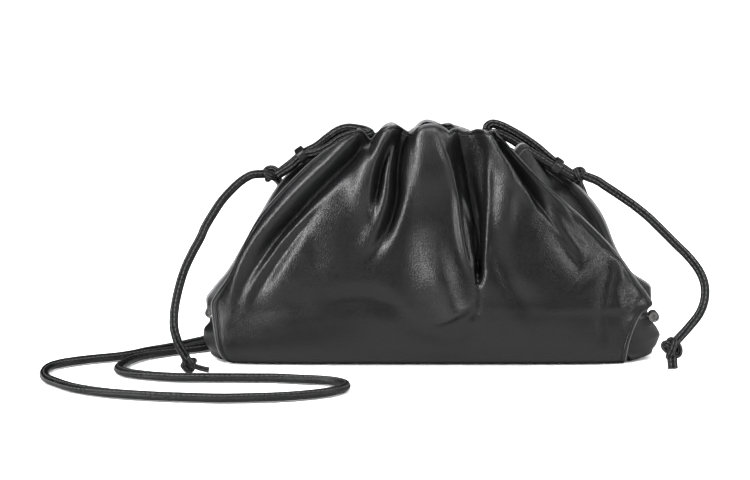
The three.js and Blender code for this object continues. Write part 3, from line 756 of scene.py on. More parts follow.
# How far the rim rises above the bag's height or dips below it, as x and rise in millimetres.
FRONT_RIM = (
    (-37, -1.2), (-36, 0.4), (-33, -0.8), (-30, -4), (-27.5, -1.8), (-24, 0.9), (-18, 1.9), (-12.5, 0.6),
    (-9.8, -1.2), (-7.5, 0.6), (-4, 1.9), (-0.7, 2.3), (3, 1.8), (6.5, 0.1), (8, -0.7), (10, 0.9), (12, 1.3),
    (15, 0.2), (18, -0.2), (21.4, 0.4), (24, -0.2), (26.2, -1.2), (27.6, -0.5), (29.6, -0.1), (31, -1),
)
BACK_RIM = (
    (-34, -2.6), (-27, -1.4), (-23.5, 0.8), (-19.3, 1.8), (-15.5, 0.8), (-12.5, -1.4), (-9, -0.6), (-5, 2),
    (-1, 3), (4, 3.1), (8, 2.4), (11.5, 0.2), (14, -0.4), (18, -0.8), (22, -2.2), (28, -3.2),
)
FRONT_FOLDS = (
    Fold("left deep valley", (-29, 113.4, -31.4, 108.2, -36.2, 103.1, -42, 97.5, -48.7, 91.1, -56.3, 84.1,
        -63.9, 76.1, -70.6, 68.7, -76.8, 61.7, -82.1, 54.1, -85.9, 47.3, -89.3, 40.1), 3.8, 3.6, -5.4, 2,
        0.02, 0.4, 0.85),
    Fold("left lobe", (-34.3, 116.2, -40.1, 108.2, -47.7, 98.5, -58.2, 88.8, -67.8, 79.4, -76.4, 69.6, -83,
        61.7, -88.3, 53.6, -91.7, 46.9, -95.1, 39.2, -97.5, 32.5, -98.1, 24.6), 5.4, 4.6, 3.6, 2, 0.02, 0.25,
        0.7),
    Fold("thin left ridge", (-60.6, 73.8, -64.9, 69.1, -69.2, 64, -73.5, 58.8, -77.3, 52.6, -81.6, 47.3,
        -85.5, 41.6, -88.9, 34.4, -91.8, 26.1), 2.2, 1.9, 1.2, 2, 0.25, 0.4, 1.3),
    Fold("second left valley", (-57.7, 71.9, -62.5, 66.3, -66.8, 61.2, -71.1, 55.5, -75.4, 49.7, -79.3, 43.5,
        -83.6, 36.8, -87, 30.5), 2, 3.2, -1.8, 1.7, 0.25, 0.4, 1.3),
    Fold("left facet", (-59.1, 70.5, -62.9, 61.2, -67.7, 52.6, -73.5, 44, -79.8, 34.4), 4, 7.5, 0.9, 2, 0.3),
    Fold("facet crease", (-58.2, 66.8, -57.2, 57.4, -54.9, 46.4), 3, 6.5, -0.55, 1.8, 0.25, 0.3),
    Fold("shoulder bulge", (-36.7, 95.7, -42.4, 80.8, -46.7, 65.9, -48.6, 50.7), 12, 9, 1.5, 2, 0.3, 0.45),
    Fold("first lobe", (-16.5, 115.3, -20.4, 110.6, -25.2, 104, -28.6, 96.6, -30.5, 88.3, -31.4, 78.5, -32.4,
        68.7), 8, 3, 5.2, 2.5, 0.02, 0.45),
    Fold("first lobe valley", (-18, 108.7, -22.3, 102.1, -24.7, 95.2, -26.2, 88.3, -27.6, 81.3, -29.5, 73.3),
        2.2, 2.2, -2.6, 2, 0.25),
    Fold("grainy ridge", (-19, 103.1, -20.4, 94.8, -21.4, 85.5, -23.3, 75.7, -26.6, 66.8, -30.5, 59.3, -34.3,
        53.6), 3.4, 2.8, 2.8, 2, 0.2, 0.35, 1.6),
    Fold("inner valley", (-10.8, 116.2, -13.7, 109.6, -16.1, 102.1, -17.1, 93.9, -17.1, 85.5, -18.5, 77.1,
        -21.4, 68.7, -25.2, 60.7, -29.5, 53.6), 2.8, 2.8, -5.8, 2, 0.02, 0.35, 1.2),
    Fold("second lobe valley", (-8.9, 78, -10.4, 70.5, -12.3, 62.1, -14.7, 53.6, -17.1, 44.9, -19, 35.3), 2.8,
        6, -1, 1.8, 0.4, 0.3, 1.5),
    Fold("second lobe", (0.3, 117.2, 0.3, 104.9, 0.2, 94.8, -0.3, 85.5, -0.8, 75.2), 11.2, 10.2, 5, 4, 0.02,
        0.6),
    Fold("pocket left lip", (3.6, 106.8, 8.4, 97.1, 10.7, 88.3, 12.1, 79.9, 13, 70.5, 14.4, 61.2, 16.4, 52.6,
        19.3, 44.5), 2.6, 1.5, 2.2, 2, 0.15, 0.2, 0.8),
    Fold("pocket", (13.7, 113.4, 15.6, 103.5, 17.4, 94.8, 18.8, 85.5, 20.2, 76.1, 20.7, 66.8, 21.1, 57.4,
        21.7, 47.8, 21.7, 39.2), 4, 9, -7.4, 1.9, 0.22, 0.12, 0.2),
    Fold("pocket slot", (9.9, 108.7, 11.8, 100.3, 13.6, 91.1, 15.9, 81.8, 18.3, 72.4, 20.2, 64, 21.1, 55.5),
        2, 2.4, -2.4, 2, 0.3, 0.3),
    Fold("pocket inner ridge", (15.9, 80.8, 18.3, 74.3, 20.2, 67.3, 21.1, 60.3, 21.1, 53.6, 20.2, 46.9), 1.4,
        1.5, 3, 2, 0.3, 0.25),
    Fold("pocket right valley", (21.7, 82.7, 23.1, 74.3, 23.5, 64.9, 23.1, 55.5, 22.1, 47.8), 1.2, 1.2, -1.6,
        2, 0.3, 0.25, 0.8),
    Fold("pocket right lip", (26.6, 99.4, 26.5, 91.1, 26.5, 81.8, 25.9, 72.4, 25.4, 64, 25, 56.9, 24, 50.7,
        22.6, 44), 1.3, 2, 1.8, 2, 0.2, 0.2),
    Fold("fourth lobe", (25.3, 117.2, 30.1, 107.7, 32.9, 99.4, 34.6, 90.2, 35.1, 81.8, 34.5, 72.4, 33.1, 63.1,
        31.2, 54.5), 6.6, 5.5, 4.2, 2.2, 0.02, 0.45),
    Fold("fourth lobe edge", (25.3, 116.2, 31, 103.5, 35.7, 95.7, 40.8, 88.3, 45.6, 81.8, 49.9, 74.7), 4.5,
        1.3, 3.4, 2, 0.1, 0.3),
    Fold("overlap valley", (27.2, 116.2, 32.9, 104.9, 37.6, 98, 42.3, 91.6, 47.1, 85.5, 51.8, 79.4, 56.5,
        72.9, 61.3, 66.3, 66, 60.3), 1.5, 2.6, -4.6, 1.8, 0.02, 0.45, 1.1),
    Fold("right ridge", (30.1, 116.2, 37.2, 103.1, 42.9, 96.6, 49, 90.6, 55.2, 84.6, 60.9, 78.5, 66.1, 72.4,
        70.8, 65.9), 1.8, 2.2, 2.2, 2, 0.02, 0.3, 1.2),
    Fold("right grainy ridge", (55.1, 77.1, 59.4, 70.5, 64.1, 64.9, 69.4, 58.8, 74.7, 51.7), 2, 3.4, 1.9, 2,
        0.3, 0.35, 1.3),
    Fold("right lower crease", (58.9, 63.5, 63.6, 57.9, 68.5, 51.7, 72.8, 44.9), 3.5, 1.4, -0.9, 2, 0.3),
    Fold("right flank hollow", (63.7, 65.9, 71.3, 62.1, 78.9, 57.4, 85.2, 50.7), 24, 9, -3, 2, 0.35, 0.25),
    Fold("right body ridge", (38.9, 86.4, 44.1, 75.2, 47.4, 64.5, 49.4, 52.6), 6, 6, 1.2, 2, 0.3, 0.4, 1.2),
    Fold("right body valley", (30.7, 66.8, 32.1, 55, 36, 44, 41.8, 33.4, 48.2, 21.6), 4, 5, -1.6, 2, 0.3,
        0.35, 1.2),
    Fold("corner dent", (86.7, 49.7, 85.3, 41.1, 83.5, 32, 82.7, 23.6, 83.5, 15, 85.3, 7.3), 5, 2.2, -1.2,
        1.9, 0.3, 0.3),
    Fold("corner ridge", (89.5, 51.7, 91.5, 44.9, 92.5, 37.3), 3.2, 3.6, 1.2, 2, 0.35, 0.4),
    Fold("corner rib", (88.2, 41.1, 89.7, 32, 90.9, 23.1, 90.3, 13.5), 2.8, 3.2, 0.7, 2, 0.35, 0.4),
    Fold("corner pinch", (105, 34.4, 101.7, 31, 98.5, 27.1, 95.7, 22.6), 1.6, 2.6, -1.2, 1.7, 0.05, 0.4),
    Fold("bulge", (0.6, 56.4, 2.5, 48.8, 4.9, 40.1, 7.8, 31.5, 11.3, 23.1), 9.5, 7.5, 5.4, 2, 0.5, 0.12, 0.9),
    Fold("bulge foot", (-16.6, 29.1, -9.8, 22.6, -2.1, 18.6, 4.6, 16.1, 11.3, 15.5, 17.1, 19.1, 20.8, 26.1),
        6, 3.6, -1.1, 2, 0.3, 0.25),
    Fold("bulge right edge", (21.7, 40.1, 21.7, 33.9, 20.3, 28.1, 17, 22.6), 3, 3, -1.2, 2, 0.2, 0.3),
    Fold("soft break", (-49.1, 32.5, -38.6, 34.9, -27.6, 33.9, -15.6, 28.1), 6, 4, -1.2, 2, 0.3, 0.3),
    Fold("left sag", (-94.4, 18.1, -81.8, 25.6, -68.3, 30, -51.5, 31.5), 8, 6, -0.8, 2, 0.25),
)
BACK_FOLDS = (
    Fold("left deep valley", (-34, 115, -44, 98, -56, 82, -72, 62, -84, 42), 4.5, 6, -4, 1.4),
    Fold("left outer ridge", (-58, 92, -70, 78, -82, 62, -94, 38), 4.5, 4.5, 1.9, 2, 0.3, 0.3),
    Fold("left bulge", (-36, 108, -46, 88, -54, 66, -58, 44), 12, 12, 3.4, 2, 0.15, 0.4),
    Fold("left fork", (-27, 117, -32, 98, -37, 78, -43, 58), 2.8, 3.8, -3.4, 1.35, 0.02, 0.4),
    Fold("left lobe", (-20, 117, -24, 98, -27, 80, -31, 62), 4.2, 4.2, 2.8, 2, 0.02, 0.45),
    Fold("inner left valley", (-12.5, 117, -16, 98, -18, 78, -23, 54), 2.4, 3, -4.4, 1.35),
    Fold("centre lobe", (-4, 117, -5, 98, -6, 78, -9, 56), 6, 5, 3.4, 2, 0.02, 0.4),
    Fold("centre valley", (4.5, 117, 5, 98, 6, 76, 9, 52), 2.2, 3, -5, 1.35, 0.02, 0.3),
    Fold("centre bulge", (-4, 80, -2, 58, 0, 34), 13, 14, 3.2, 2, 0.35),
    Fold("third lobe", (12, 117, 14.5, 98, 17, 78, 19, 60), 4.4, 4.4, 3, 2, 0.02, 0.4),
    Fold("right fork", (20, 117, 24, 98, 28, 80, 34, 60), 3, 2.4, -3.6, 1.35, 0.02, 0.4),
    Fold("fourth lobe", (27, 117, 33, 98, 40, 80, 48, 62), 4.4, 5, 3, 2, 0.02, 0.4),
    Fold("right overlap", (32.5, 117, 42, 99, 56, 82, 68, 66), 3.4, 2.2, -3.4, 1.4),
    Fold("right ridge", (46, 103, 60, 88, 74, 72, 86, 50), 3.4, 4, 2.3, 2, 0.2),
    Fold("right body", (44, 84, 56, 66, 64, 44), 10, 12, 2.6, 2, 0.25, 0.4),
    Fold("low sag", (-86, 20, -50, 18, -10, 20, 36, 18, 80, 20), 5, 7, -1.3, 2, 0.2, 0.2),
    Fold("right corner dent", (92, 46, 90, 30, 89, 12), 2.6, 3, -2, 1.6, 0.25, 0.3),
)
# The side walls' profile: height, how far the left and the right one stand out, and how sharp the fold is.
GUSSET_CREASES = (
    (0, 0.12, 0.2, 0),
    (0.02, 0.2, 0.42, 0),
    (0.055, 0.28, 0.56, 0),
    (0.09, 0.25, 0.57, 0),
    (0.125, 0.18, 0.44, 0.1),
    (0.15, -0.02, 0.3, 0.3),
    (0.178, -0.26, 0.16, 0.5),
    (0.205, -0.44, -0.16, 0.9),
    (0.265, -0.5, -0.4, 1),
    (0.36, -0.38, -0.4, 1),
    (0.61, -0.42, -0.42, 1),
    (0.72, -0.34, -0.34, 1),
    (0.81, -0.3, -0.26, 1),
    (0.87, -0.26, -0.06, 0.4),
    (0.9, -0.26, -0.02, 0.3),
)

@dataclass
class GatheredPanel(Piece):
    """The bag's front or back: one gathered leather sheet from the base seam up to the mouth.

    length is the sheet's run from seam to mouth, roll how far below the rim it starts to roll over and
    roll_depth how far it does, and hem where its stitched line lies, all in millimetres.
    """

    facing: float
    sections: tuple[Section, ...]
    folds: tuple[Fold, ...]
    crest: tuple[tuple[float, float], ...]
    seed: float = 0.4
    columns: int = 312
    rows: int = 146
    edge_fade: float = 0.035
    length: float = 150.0
    roll: float = 7.0
    roll_depth: float = 1.6
    hem: float = 2.5

    def keys(self) -> Array:
        """How far along the middle of the sheet each section lies, from 0 to 1."""
        middle = [(s.height * BAG_HEIGHT, s.belly * HALF_DEPTH) for s in self.sections]
        run = run_along(np.array(middle))
        return run / run[-1]

    def column(self, name: str, along: Array) -> Array:
        """One column of the sections at places along the sheet."""
        return monotone(self.keys(), np.array([getattr(s, name) for s in self.sections]), along)

    def plain(self, across: Array, along: Array) -> Array:
        """The sheet without its folds, in millimetres."""
        left, right = (self.column(k, along) * HALF_WIDTH for k in ("left", "right"))
        belly, edge = (self.column(k, along) * HALF_DEPTH for k in ("belly", "edge"))
        lens = np.maximum(0.0, 1 - np.abs(across) ** self.column("square", along)) ** 0.62
        depth = 0.15 + edge + (belly - edge) * lens
        x = left + (right - left) * (across + 1) / 2
        return np.column_stack([x, self.facing * depth, self.column("height", along) * BAG_HEIGHT])

    def normal(self, across: Array, along: Array) -> Array:
        """The plain sheet's outward direction."""
        step = 0.015
        limit = np.clip(across, step - 1, 1 - step)
        sideways = self.plain(limit + step, along) - self.plain(limit - step, along)
        above, below = np.minimum(1, along + step), np.maximum(0, along - step)
        upward = self.plain(limit, above) - self.plain(limit, below)
        return unit(np.cross(sideways, upward) * -self.facing)

    def relief(self, base: Array, across: Array) -> Array:
        """How far the folds lift the sheet, in millimetres."""
        x, z = base[:, 0], base[:, 2]
        total = sum(fold.height(x, z) for fold in self.folds) + 0.06 * ripple(x, z, 24.0, self.seed)
        return total * smooth(1 - np.abs(across), 0.0, self.edge_fade) * smooth(z, 0.3, 9.0)

    def model(self) -> Obj:
        """Models the panel.

        Returns:
            The sheet with its folds, its hem and its rolled rim.
        """
        across, along = unit_grid(self.columns, self.rows)
        obj = self.named()
        across = 2 * crowd((across + 1) / 2, ((0.0, 0.02, 2.2), (1.0, 0.02, 2.2), (0.5, 0.17, 1.1))) - 1
        along = crowd(along, ((1.0, 0.03, 2.4), (0.05, 0.05, 1.4)))
        base, below = self.plain(across, along), (1 - along) * self.length
        half = (self.column("right", along) - self.column("left", along)) * HALF_WIDTH / 2
        hem = np.minimum((1 - np.abs(across)) * half, below)
        band = 0.3 * (1 - smooth(hem, 1.6, 2.4)) - 0.25 * np.exp(-(((hem - self.hem) / 0.6) ** 2))
        relief = self.relief(base, across) + band
        roll = self.roll_depth * np.maximum(0, 1 - below / self.roll) ** 2
        points = base + self.normal(across, along) * (relief - roll)[:, None]
        rim, crest = smooth(along, 0.85, 1.0), np.array(self.crest)
        at = np.clip(base[:, 0], crest[0, 0], crest[-1, 0])
        points[:, 2] += rim * monotone(crest[:, 0], crest[:, 1], at)
        least = MOUTH_SLIT / 2 + LEATHER
        shallow = (rim > 0) & (self.facing * points[:, 1] < least)
        points[shallow, 1] = self.facing * least
        points[along <= self.keys()[1] + 1e-6, 2] = 0.0
        move_vertices(obj, points)
        turn_outwards(obj, (0.0, self.facing, 0.0))
        point_values(obj, hem=hem, ridge=np.clip(relief / 5.0, -1, 1))
        give_thickness(obj, LEATHER, 0.45)
        return obj

    def declare(self, obj: Obj) -> None:
        """Does nothing."""


@dataclass
class Gusset(Piece):
    """A folded side wall between the two panels.

    top is the share of the bag's height that it reaches, lobe how far its top arches up and reach how
    far its front stands out there, both in millimetres.
    """

    side: float
    front: GatheredPanel
    back: GatheredPanel
    top: float = 0.87
    lobe: float = 0.0
    reach: float = 0.0
    columns: int = 44
    rows: int = 150
    slot = "gusset"

    def edge(self, panel: GatheredPanel, height: Array) -> tuple[Array, Array]:
        """Where the gusset meets a panel, as x and y in millimetres."""
        along = np.interp(height, [s.height for s in panel.sections[1:]], panel.keys()[1:])
        x = panel.column("left" if self.side < 0 else "right", along) * HALF_WIDTH
        return x, panel.facing * (panel.column("edge", along) * HALF_DEPTH - LEATHER * 0.9)

    def model(self) -> Obj:
        """Models the gusset.

        Returns:
            The side wall with its fold, its foot and the lobe at its top.
        """
        across, up = unit_grid(self.columns, self.rows)
        obj = self.named()
        height = up * self.top
        turn = np.clip((across + 1) / 0.75, 0, 1)
        rise = self.lobe * smooth(up, 0.78, 0.98) * np.sin(math.pi * turn)
        proud = self.reach * smooth(up, 0.70, 0.95) * turn * (1 - smooth(across, -0.25, 0.45))
        table = np.array(GUSSET_CREASES)
        bulge = monotone(table[:, 0], table[:, 1 if self.side < 0 else 2], height) * HALF_DEPTH
        sharp = monotone(table[:, 0], table[:, 3], height)
        fold = (1 - sharp) * (1 - across**2) + sharp * (1 - np.sqrt(across**2 + 0.01) + 0.005)
        (fx, fy), (bx, by) = self.edge(self.front, height), self.edge(self.back, height)
        share, z = (across + 1) / 2, height * BAG_HEIGHT
        foot = (1 - smooth(z, LEATHER, 3 * LEATHER)) * (GUSSET_LEATHER + 1.5)
        wave = 0.5 * ripple(across * 9, z, 15.0, 2.0 + self.side) * (1 - across**2) * smooth(z, 2, 10)
        x = fx + (bx - fx) * share + self.side * (bulge * fold + foot + wave + proud)
        move_vertices(obj, np.column_stack([x, fy + (by - fy) * share, z + rise]))
        turn_outwards(obj, (self.side, 0.0, 0.0))
        hem = np.minimum((1 - across) * (by - fy) / 2, (1 - up) * 90 + 3 * (self.lobe == 0))
        point_values(obj, ridge=np.abs(across) * 0.5 - 0.2, hem=hem)
        give_thickness(obj, GUSSET_LEATHER, 0.3)
        return obj


# The cord


class FarEnd(Enum):
    """What a free cord ends in."""

    KNOT = "knot"
    OBJECT = "object"


class Lay(Enum):
    """How a cord lies."""

    TAUT = "taut"
    HANGING = "hanging"
    LOOSE = "loose"


# The cord's routes. A point without a height lies on the floor.
LOOP_LEFT = (
    (-73.4, -2.3, 91.6), (-68.5, -2.5, 94.9), (-62.5, -2.4, 100), (-56, -2.2, 101.6), (-50, -2.1, 104.6),
    (-44, -1.8, 108.6), (-37.5, -1.6, 110.6), (-32, -1.9, 110.4), (-29.6, 0.2, 110.8), (-32, 2.2, 112),
    (-37, 2, 113.1), (-41, 1.9, 113.4), (-45.5, 2, 112.1), (-50.4, 2.2, 108.8), (-56, 2.4, 104.4),
    (-62.5, 2.4, 100.9), (-68.5, 2.4, 95.8), (-73, 2.6, 92.3),
)
LOOP_RIGHT = (
    (66.6, -2.4, 91), (62.5, -2.4, 93.2), (58, -2.4, 95.8), (51, -2.1, 100), (43, -1.6, 105.2),
    (37, -1.2, 108.8), (32, -0.8, 110.9), (28.6, -0.4, 111), (26.4, -0.1, 113.1), (28.6, 0, 115.4),
    (32.6, 0, 114.8), (38.5, 0.6, 112), (45, 1.6, 108.2), (52, 2.4, 103.2), (58, 2.5, 98), (62.5, 2.4, 94.6),
    (66.6, 2.4, 91.8),
)
TAIL_LEFT = (
    (-82.6, -1, 91.1), (-87.3, -3, 90.9), (-92.1, -6, 88.5), (-96.8, -9, 84.5), (-101.6, -12, 79.3),
    (-105.1, -15, 74.2), (-109.3, -18, 67.2), (-110.9, -21, 63.4), (-115, -24, 55.8), (-118.5, -27, 48.3),
    (-120.8, -30, 40.8), (-122.4, -33, 33.4), (-123, -36, 27.2), (-122.7, -38, 21.6), (-120.6, -38.6, 14.4),
    (-117.9, -38.2, 8.9),
)
TAIL_RIGHT = (
    (75.8, -0.5, 89.6), (80.5, -1.2, 87.8), (85, -2, 84.9), (90.4, -2.6, 81.4), (97.7, -4.9, 76.5),
    (104.9, -7.1, 70.8), (110.7, -9.4, 65.3), (117.7, -11.7, 58.4), (124.3, -14, 51.9), (129.5, -16.3, 44.7),
    (131.4, -18.6, 38.2), (130.8, -20.9, 31.8), (128.2, -23.1, 26.1), (123.3, -25.4, 20.4),
    (116.9, -28.4, 14.2),
)
STRAP = (
    (-77.6, 5.2, 89.6), (-74.8, 11, 86), (-73, 16.6, 81), (-73, 25, 71), (-76, 32.5, 56), (-84, 37, 36),
    (-94, 39.5, 17), (-101.5, 38.8, 6.6), (-109.5, 35, 2.9), (-114.8, 29.4), (-120.8, 22), (-126.8, 14.6),
    (-133.4, 8.6), (-140.4, 2.7), (-146.6, -4.2), (-153.2, -9.5), (-166.7, -16.1), (-178.2, -24.5),
    (-182.9, -32.7), (-183.6, -46.8), (-180.3, -58.5), (-175.6, -65.3), (-165.1, -77.4), (-150.5, -86.2),
    (-136.7, -91.1), (-123.2, -94.2), (-109.8, -96.1), (-96.6, -97.5), (-83.1, -96.7), (-71.8, -95.2),
    (-60.4, -91.9), (-49.1, -86), (-42.2, -78.4), (-40.9, -71.9), (-43.6, -66.4), (-49.6, -62.2),
    (-61.6, -59.5), (-73.5, -57), (-85.5, -56.4), (-97.4, -56), (-109.3, -56), (-120.2, -55.5),
    (-134.3, -51.5), (-145.4, -45.3), (-149.8, -37.3), (-148.4, -26), (-145.3, -16.1), (-139.2, -6),
    (-125.9, 5.1), (-112.7, 13.2), (-104, 24), (-90, 31.5), (-70, 35.5), (-40, 38.5), (0, 40), (40, 39.5),
    (64, 38, 2.9), (82, 36, 8.4), (90, 32.5, 20), (91.5, 28, 36), (87.4, 23.5, 52), (80.4, 18, 67.7),
    (76, 14.6, 78), (73, 11.2, 84.6), (71.5, 5.4, 89),
)

def cord_outline(diameter: float, depth: float = 1.0, sides: int = 32) -> Array:
    """The cord's section: nearly round, with a groove on each side of its stitched edge.

    Args:
        diameter: Its diameter in millimetres.
        depth: How deep the grooves are, as a share of the usual depth.
        sides: How many points go round it.

    Returns:
        The section's points, from the stitched edge on round.
    """
    turn = np.linspace(0, 2 * math.pi, sides, endpoint=False)
    off = np.abs((turn + math.pi) % (2 * math.pi) - math.pi)
    groove = 0.20 * np.exp(-((off / 0.16) ** 2)) + 0.17 * np.exp(-(((off - 0.85) / 0.17) ** 2))
    radius = (1 - depth * groove) * diameter / 2
    return np.column_stack([radius * np.cos(turn) * 0.96, radius * np.sin(turn) * 1.02])


@dataclass
class Cord(Piece):
    """A stretch of the leather cord, swept along its route, with the knots that hang on it."""

    points: tuple[tuple[float, ...], ...]
    far_end: FarEnd
    lay: Lay
    knots: tuple[str, ...] = ()
    facing: Point = (0.0, -0.85, 0.5)
    step: float = 1.2
    tuck: float = 2.2
    suffix = slot = "cord"

    def path(self) -> Array:
        """The centreline, with both ends tucked into what holds them."""
        rough = np.array([p if len(p) == 3 else (*p, ON_FLOOR) for p in self.points], float)
        count = max(12, int(run_along(spline(rough, 400))[-1] / self.step))
        path = spline(rough, count)
        path[0] -= self.tuck * (path[1] - path[0]) / np.linalg.norm(path[1] - path[0])
        path[-1] += self.tuck * (path[-1] - path[-2]) / np.linalg.norm(path[-1] - path[-2])
        return path

    def model(self) -> Obj:
        """Sweeps the cord, with a slow twist."""
        path = self.path()
        run = np.linspace(0, run_along(path)[-1], len(path))
        twist = 0.35 * np.sin(run / 31.0) + 0.2 * np.sin(run / 13.0 + 1.0)
        return tube_mesh(self.name, path, cord_outline(CORD_DIAMETER), self.facing, twist)

    def declare(self, obj: Obj) -> None:
        """Works out the cord's path and states nothing."""
        path = self.path()


@dataclass
class Knot(Piece):
    """A pulled-tight overhand knot, with a cut end of cord where it closes a tail."""

    at: Point
    size: float
    axis: Point
    phase: float
    length: float
    tail: tuple[Point, ...] = ()
    tail_size: float = 1.0
    suffix = slot = "cord"

    def strand(self) -> Array:
        """The knotted strand's centreline, which winds twice round the axis and crosses itself."""
        t = np.linspace(math.pi / 3, math.pi / 3 + 2 * math.pi, 120)
        thick = self.size * 0.155
        wide = self.size / 2 - thick
        reach = wide * (0.66 + 0.34 * np.cos(3 * t))
        turn = 2 * t + self.phase
        rise = (self.size * self.length / 2 - thick) * np.sin(3 * t)
        axis = Vector(self.axis).normalized()
        side = axis.cross(Vector((0, 0, 1)) if abs(axis.z) < 0.8 else Vector((1, 0, 0))).normalized()
        frame = np.array([side[:], axis.cross(side)[:], axis[:]])
        return np.column_stack([reach * np.cos(turn), reach * np.sin(turn), rise]) @ frame + self.at

    def model(self) -> Obj:
        """Models the knot's strand, the cord in its heart and its cut end.

        Returns:
            All three as one mesh.
        """
        look = (0, -1, 0.3)
        obj = tube_mesh(self.name, self.strand(), cord_outline(self.size * 0.31, 0.6), look)
        axis = np.array(Vector(self.axis).normalized()) * self.size * self.length * 0.42
        core = self.at + np.linspace(-1, 1, 8)[:, None] * axis
        parts = [tube_mesh(self.name + "_core", core, cord_outline(CORD_DIAMETER * 0.9), look)]
        if self.tail:
            outline = cord_outline(CORD_DIAMETER * self.tail_size)
            parts.append(tube_mesh(self.name + "_end", spline(self.tail, 14), outline, look, open_end=True))
        return join(obj, *parts)


# The small fittings


@dataclass
class Keeper(Piece):
    """A short leather band round the doubled cord. wall is its thickness, squareness how boxy it is."""

    at: Point
    lean: float
    tilt: float
    width: float = 4.2
    wall: float = 0.7
    squareness: float = 3.4
    suffix = "band"
    slot = "keeper"

    def model(self) -> Obj:
        """Models the band.

        Returns:
            The band with its rounded edges.
        """
        bpy.ops.mesh.primitive_cylinder_add(vertices=56, depth=self.width, end_fill_type="NOTHING")
        obj = self.named()
        with editing(obj):
            bpy.ops.mesh.subdivide(number_cuts=3)
        place = np.array([v.co[:] for v in obj.data.vertices])
        along, turn = place[:, 2], np.arctan2(place[:, 1], place[:, 0])
        c, s = np.cos(turn), np.sin(turn)
        reach = sum(np.maximum(np.abs(v), 1e-6) ** self.squareness for v in (c, s))
        size = (1 + 0.02 * np.cos(along / self.width * math.pi)) / reach ** (1 / self.squareness)
        y, z = size * c * (CORD_DIAMETER + 0.9), size * s * (CORD_DIAMETER / 2 + 0.95)
        lean, tilt = -math.radians(self.lean), math.radians(self.tilt)
        turned = np.array(Matrix.Rotation(lean, 3, "Y") @ Matrix.Rotation(tilt, 3, "X"))
        move_vertices(obj, np.column_stack([along, y, z]) @ turned.T + self.at)
        with editing(obj):
            bpy.ops.mesh.normals_make_consistent(inside=False)
        give_thickness(obj, self.wall, 0.2)
        point_values(obj, ridge=np.full(len(obj.data.vertices), 0.3))
        return obj


@dataclass
class HingeEnd(Piece):
    """The metal hinge end that shows at the foot of the gusset's fold. knuckle is half its middle part."""

    x: float
    z: float
    tongue: float
    diameter: float = 5.2
    length: float = 6.8
    knuckle: float = 1.6
    suffix = "metal"
    slot = "hinge"

    def barrel(self) -> Obj:
        """Models the barrel.

        Returns:
            The barrel with grooves between its knuckles and a pin's head in each end.
        """
        size = {"radius": self.diameter / 2 * MM, "depth": self.length * MM}
        bpy.ops.mesh.primitive_cylinder_add(vertices=40, **size)
        obj = self.named()
        mesh = obj.data
        with editing(obj):
            for level in (-self.knuckle, self.knuckle):
                bpy.ops.mesh.bisect(plane_co=(0, 0, level * MM), plane_no=(0, 0, 1))
                bpy.ops.mesh.select_all(action="SELECT")
            bpy.ops.mesh.select_mode(type="EDGE")
            bpy.ops.mesh.select_all(action="DESELECT")
        for edge in mesh.edges:
            a, b = (mesh.vertices[k].co.z for k in edge.vertices)
            edge.select = abs(a - b) < 1e-6 and abs(abs(a) - self.knuckle * MM) < 1e-5
        with editing(obj, None):
            bpy.ops.mesh.bevel(offset=0.22 * MM, segments=3, profile=0.1, affect="EDGES")
            bpy.ops.mesh.select_mode(type="FACE")
            bpy.ops.mesh.select_all(action="DESELECT")
        for face in mesh.polygons:
            face.select = abs(face.normal.z) > 0.99 and len(face.vertices) > 20
        with editing(obj, None):
            for inward, depth in ((0.8, 0.0), (0.25, -0.5), (0.8, 0.0), (0.25, 0.4)):
                bpy.ops.mesh.inset(thickness=inward * MM, depth=depth * MM)
            bpy.ops.mesh.select_all(action="DESELECT")
            bpy.ops.mesh.select_mode(type="EDGE")
            bpy.ops.mesh.edges_select_sharp(sharpness=math.radians(60))
            bpy.ops.mesh.bevel(offset=0.14 * MM, segments=2, affect="EDGES")
            bpy.ops.mesh.select_all(action="SELECT")
            bpy.ops.transform.rotate(value=math.pi / 2, orient_axis="X", center_override=(0, 0, 0))
        return obj

    def model(self) -> Obj:
        """Models the barrel and the tongue that goes into the leather.

        Returns:
            Both as one mesh, in its place.
        """
        obj = self.barrel()
        bpy.ops.mesh.primitive_cube_add(size=1.0)
        arm = bpy.context.object
        arm.dimensions = (abs(self.tongue) * MM, self.length * 0.6 * MM, 1.2 * MM)
        bpy.ops.object.transform_apply(location=False, rotation=False, scale=True)
        with editing(arm):
            bpy.ops.mesh.bevel(offset=0.25 * MM, segments=2, affect="EDGES")
            bpy.ops.mesh.select_all(action="SELECT")
            bpy.ops.transform.translate(value=(self.tongue / 2 * MM, 0, 0))
        join(obj, arm)
        with editing(obj):
            bpy.ops.transform.translate(value=(self.x * MM, 0, self.z * MM))
        smooth_faces(obj, 35)
        return obj


# The studio


# Each light's place, its size in metres and its power in watts.
LIGHTS = {
    "left": ((-1.25, -0.8, 0.66), (0.40, 1.3), 37.0),
    "upper left": ((-0.85, -0.55, 1.15), (0.42, 0.6), 15.0),
    "right": ((1.35, -0.5, 0.62), (0.25, 1.1), 11.0),
    "upper right": ((0.8, -0.45, 1.15), (0.3, 0.6), 9.0),
    "front": ((-0.15, -1.3, 1.0), (0.7, 0.3), 3.5),
    "overhead": ((-0.1, -0.05, 1.3), (1.0, 0.35), 16.0),
    "right back": ((1.1, 0.7, 0.6), (0.4, 0.6), 4.5),
}


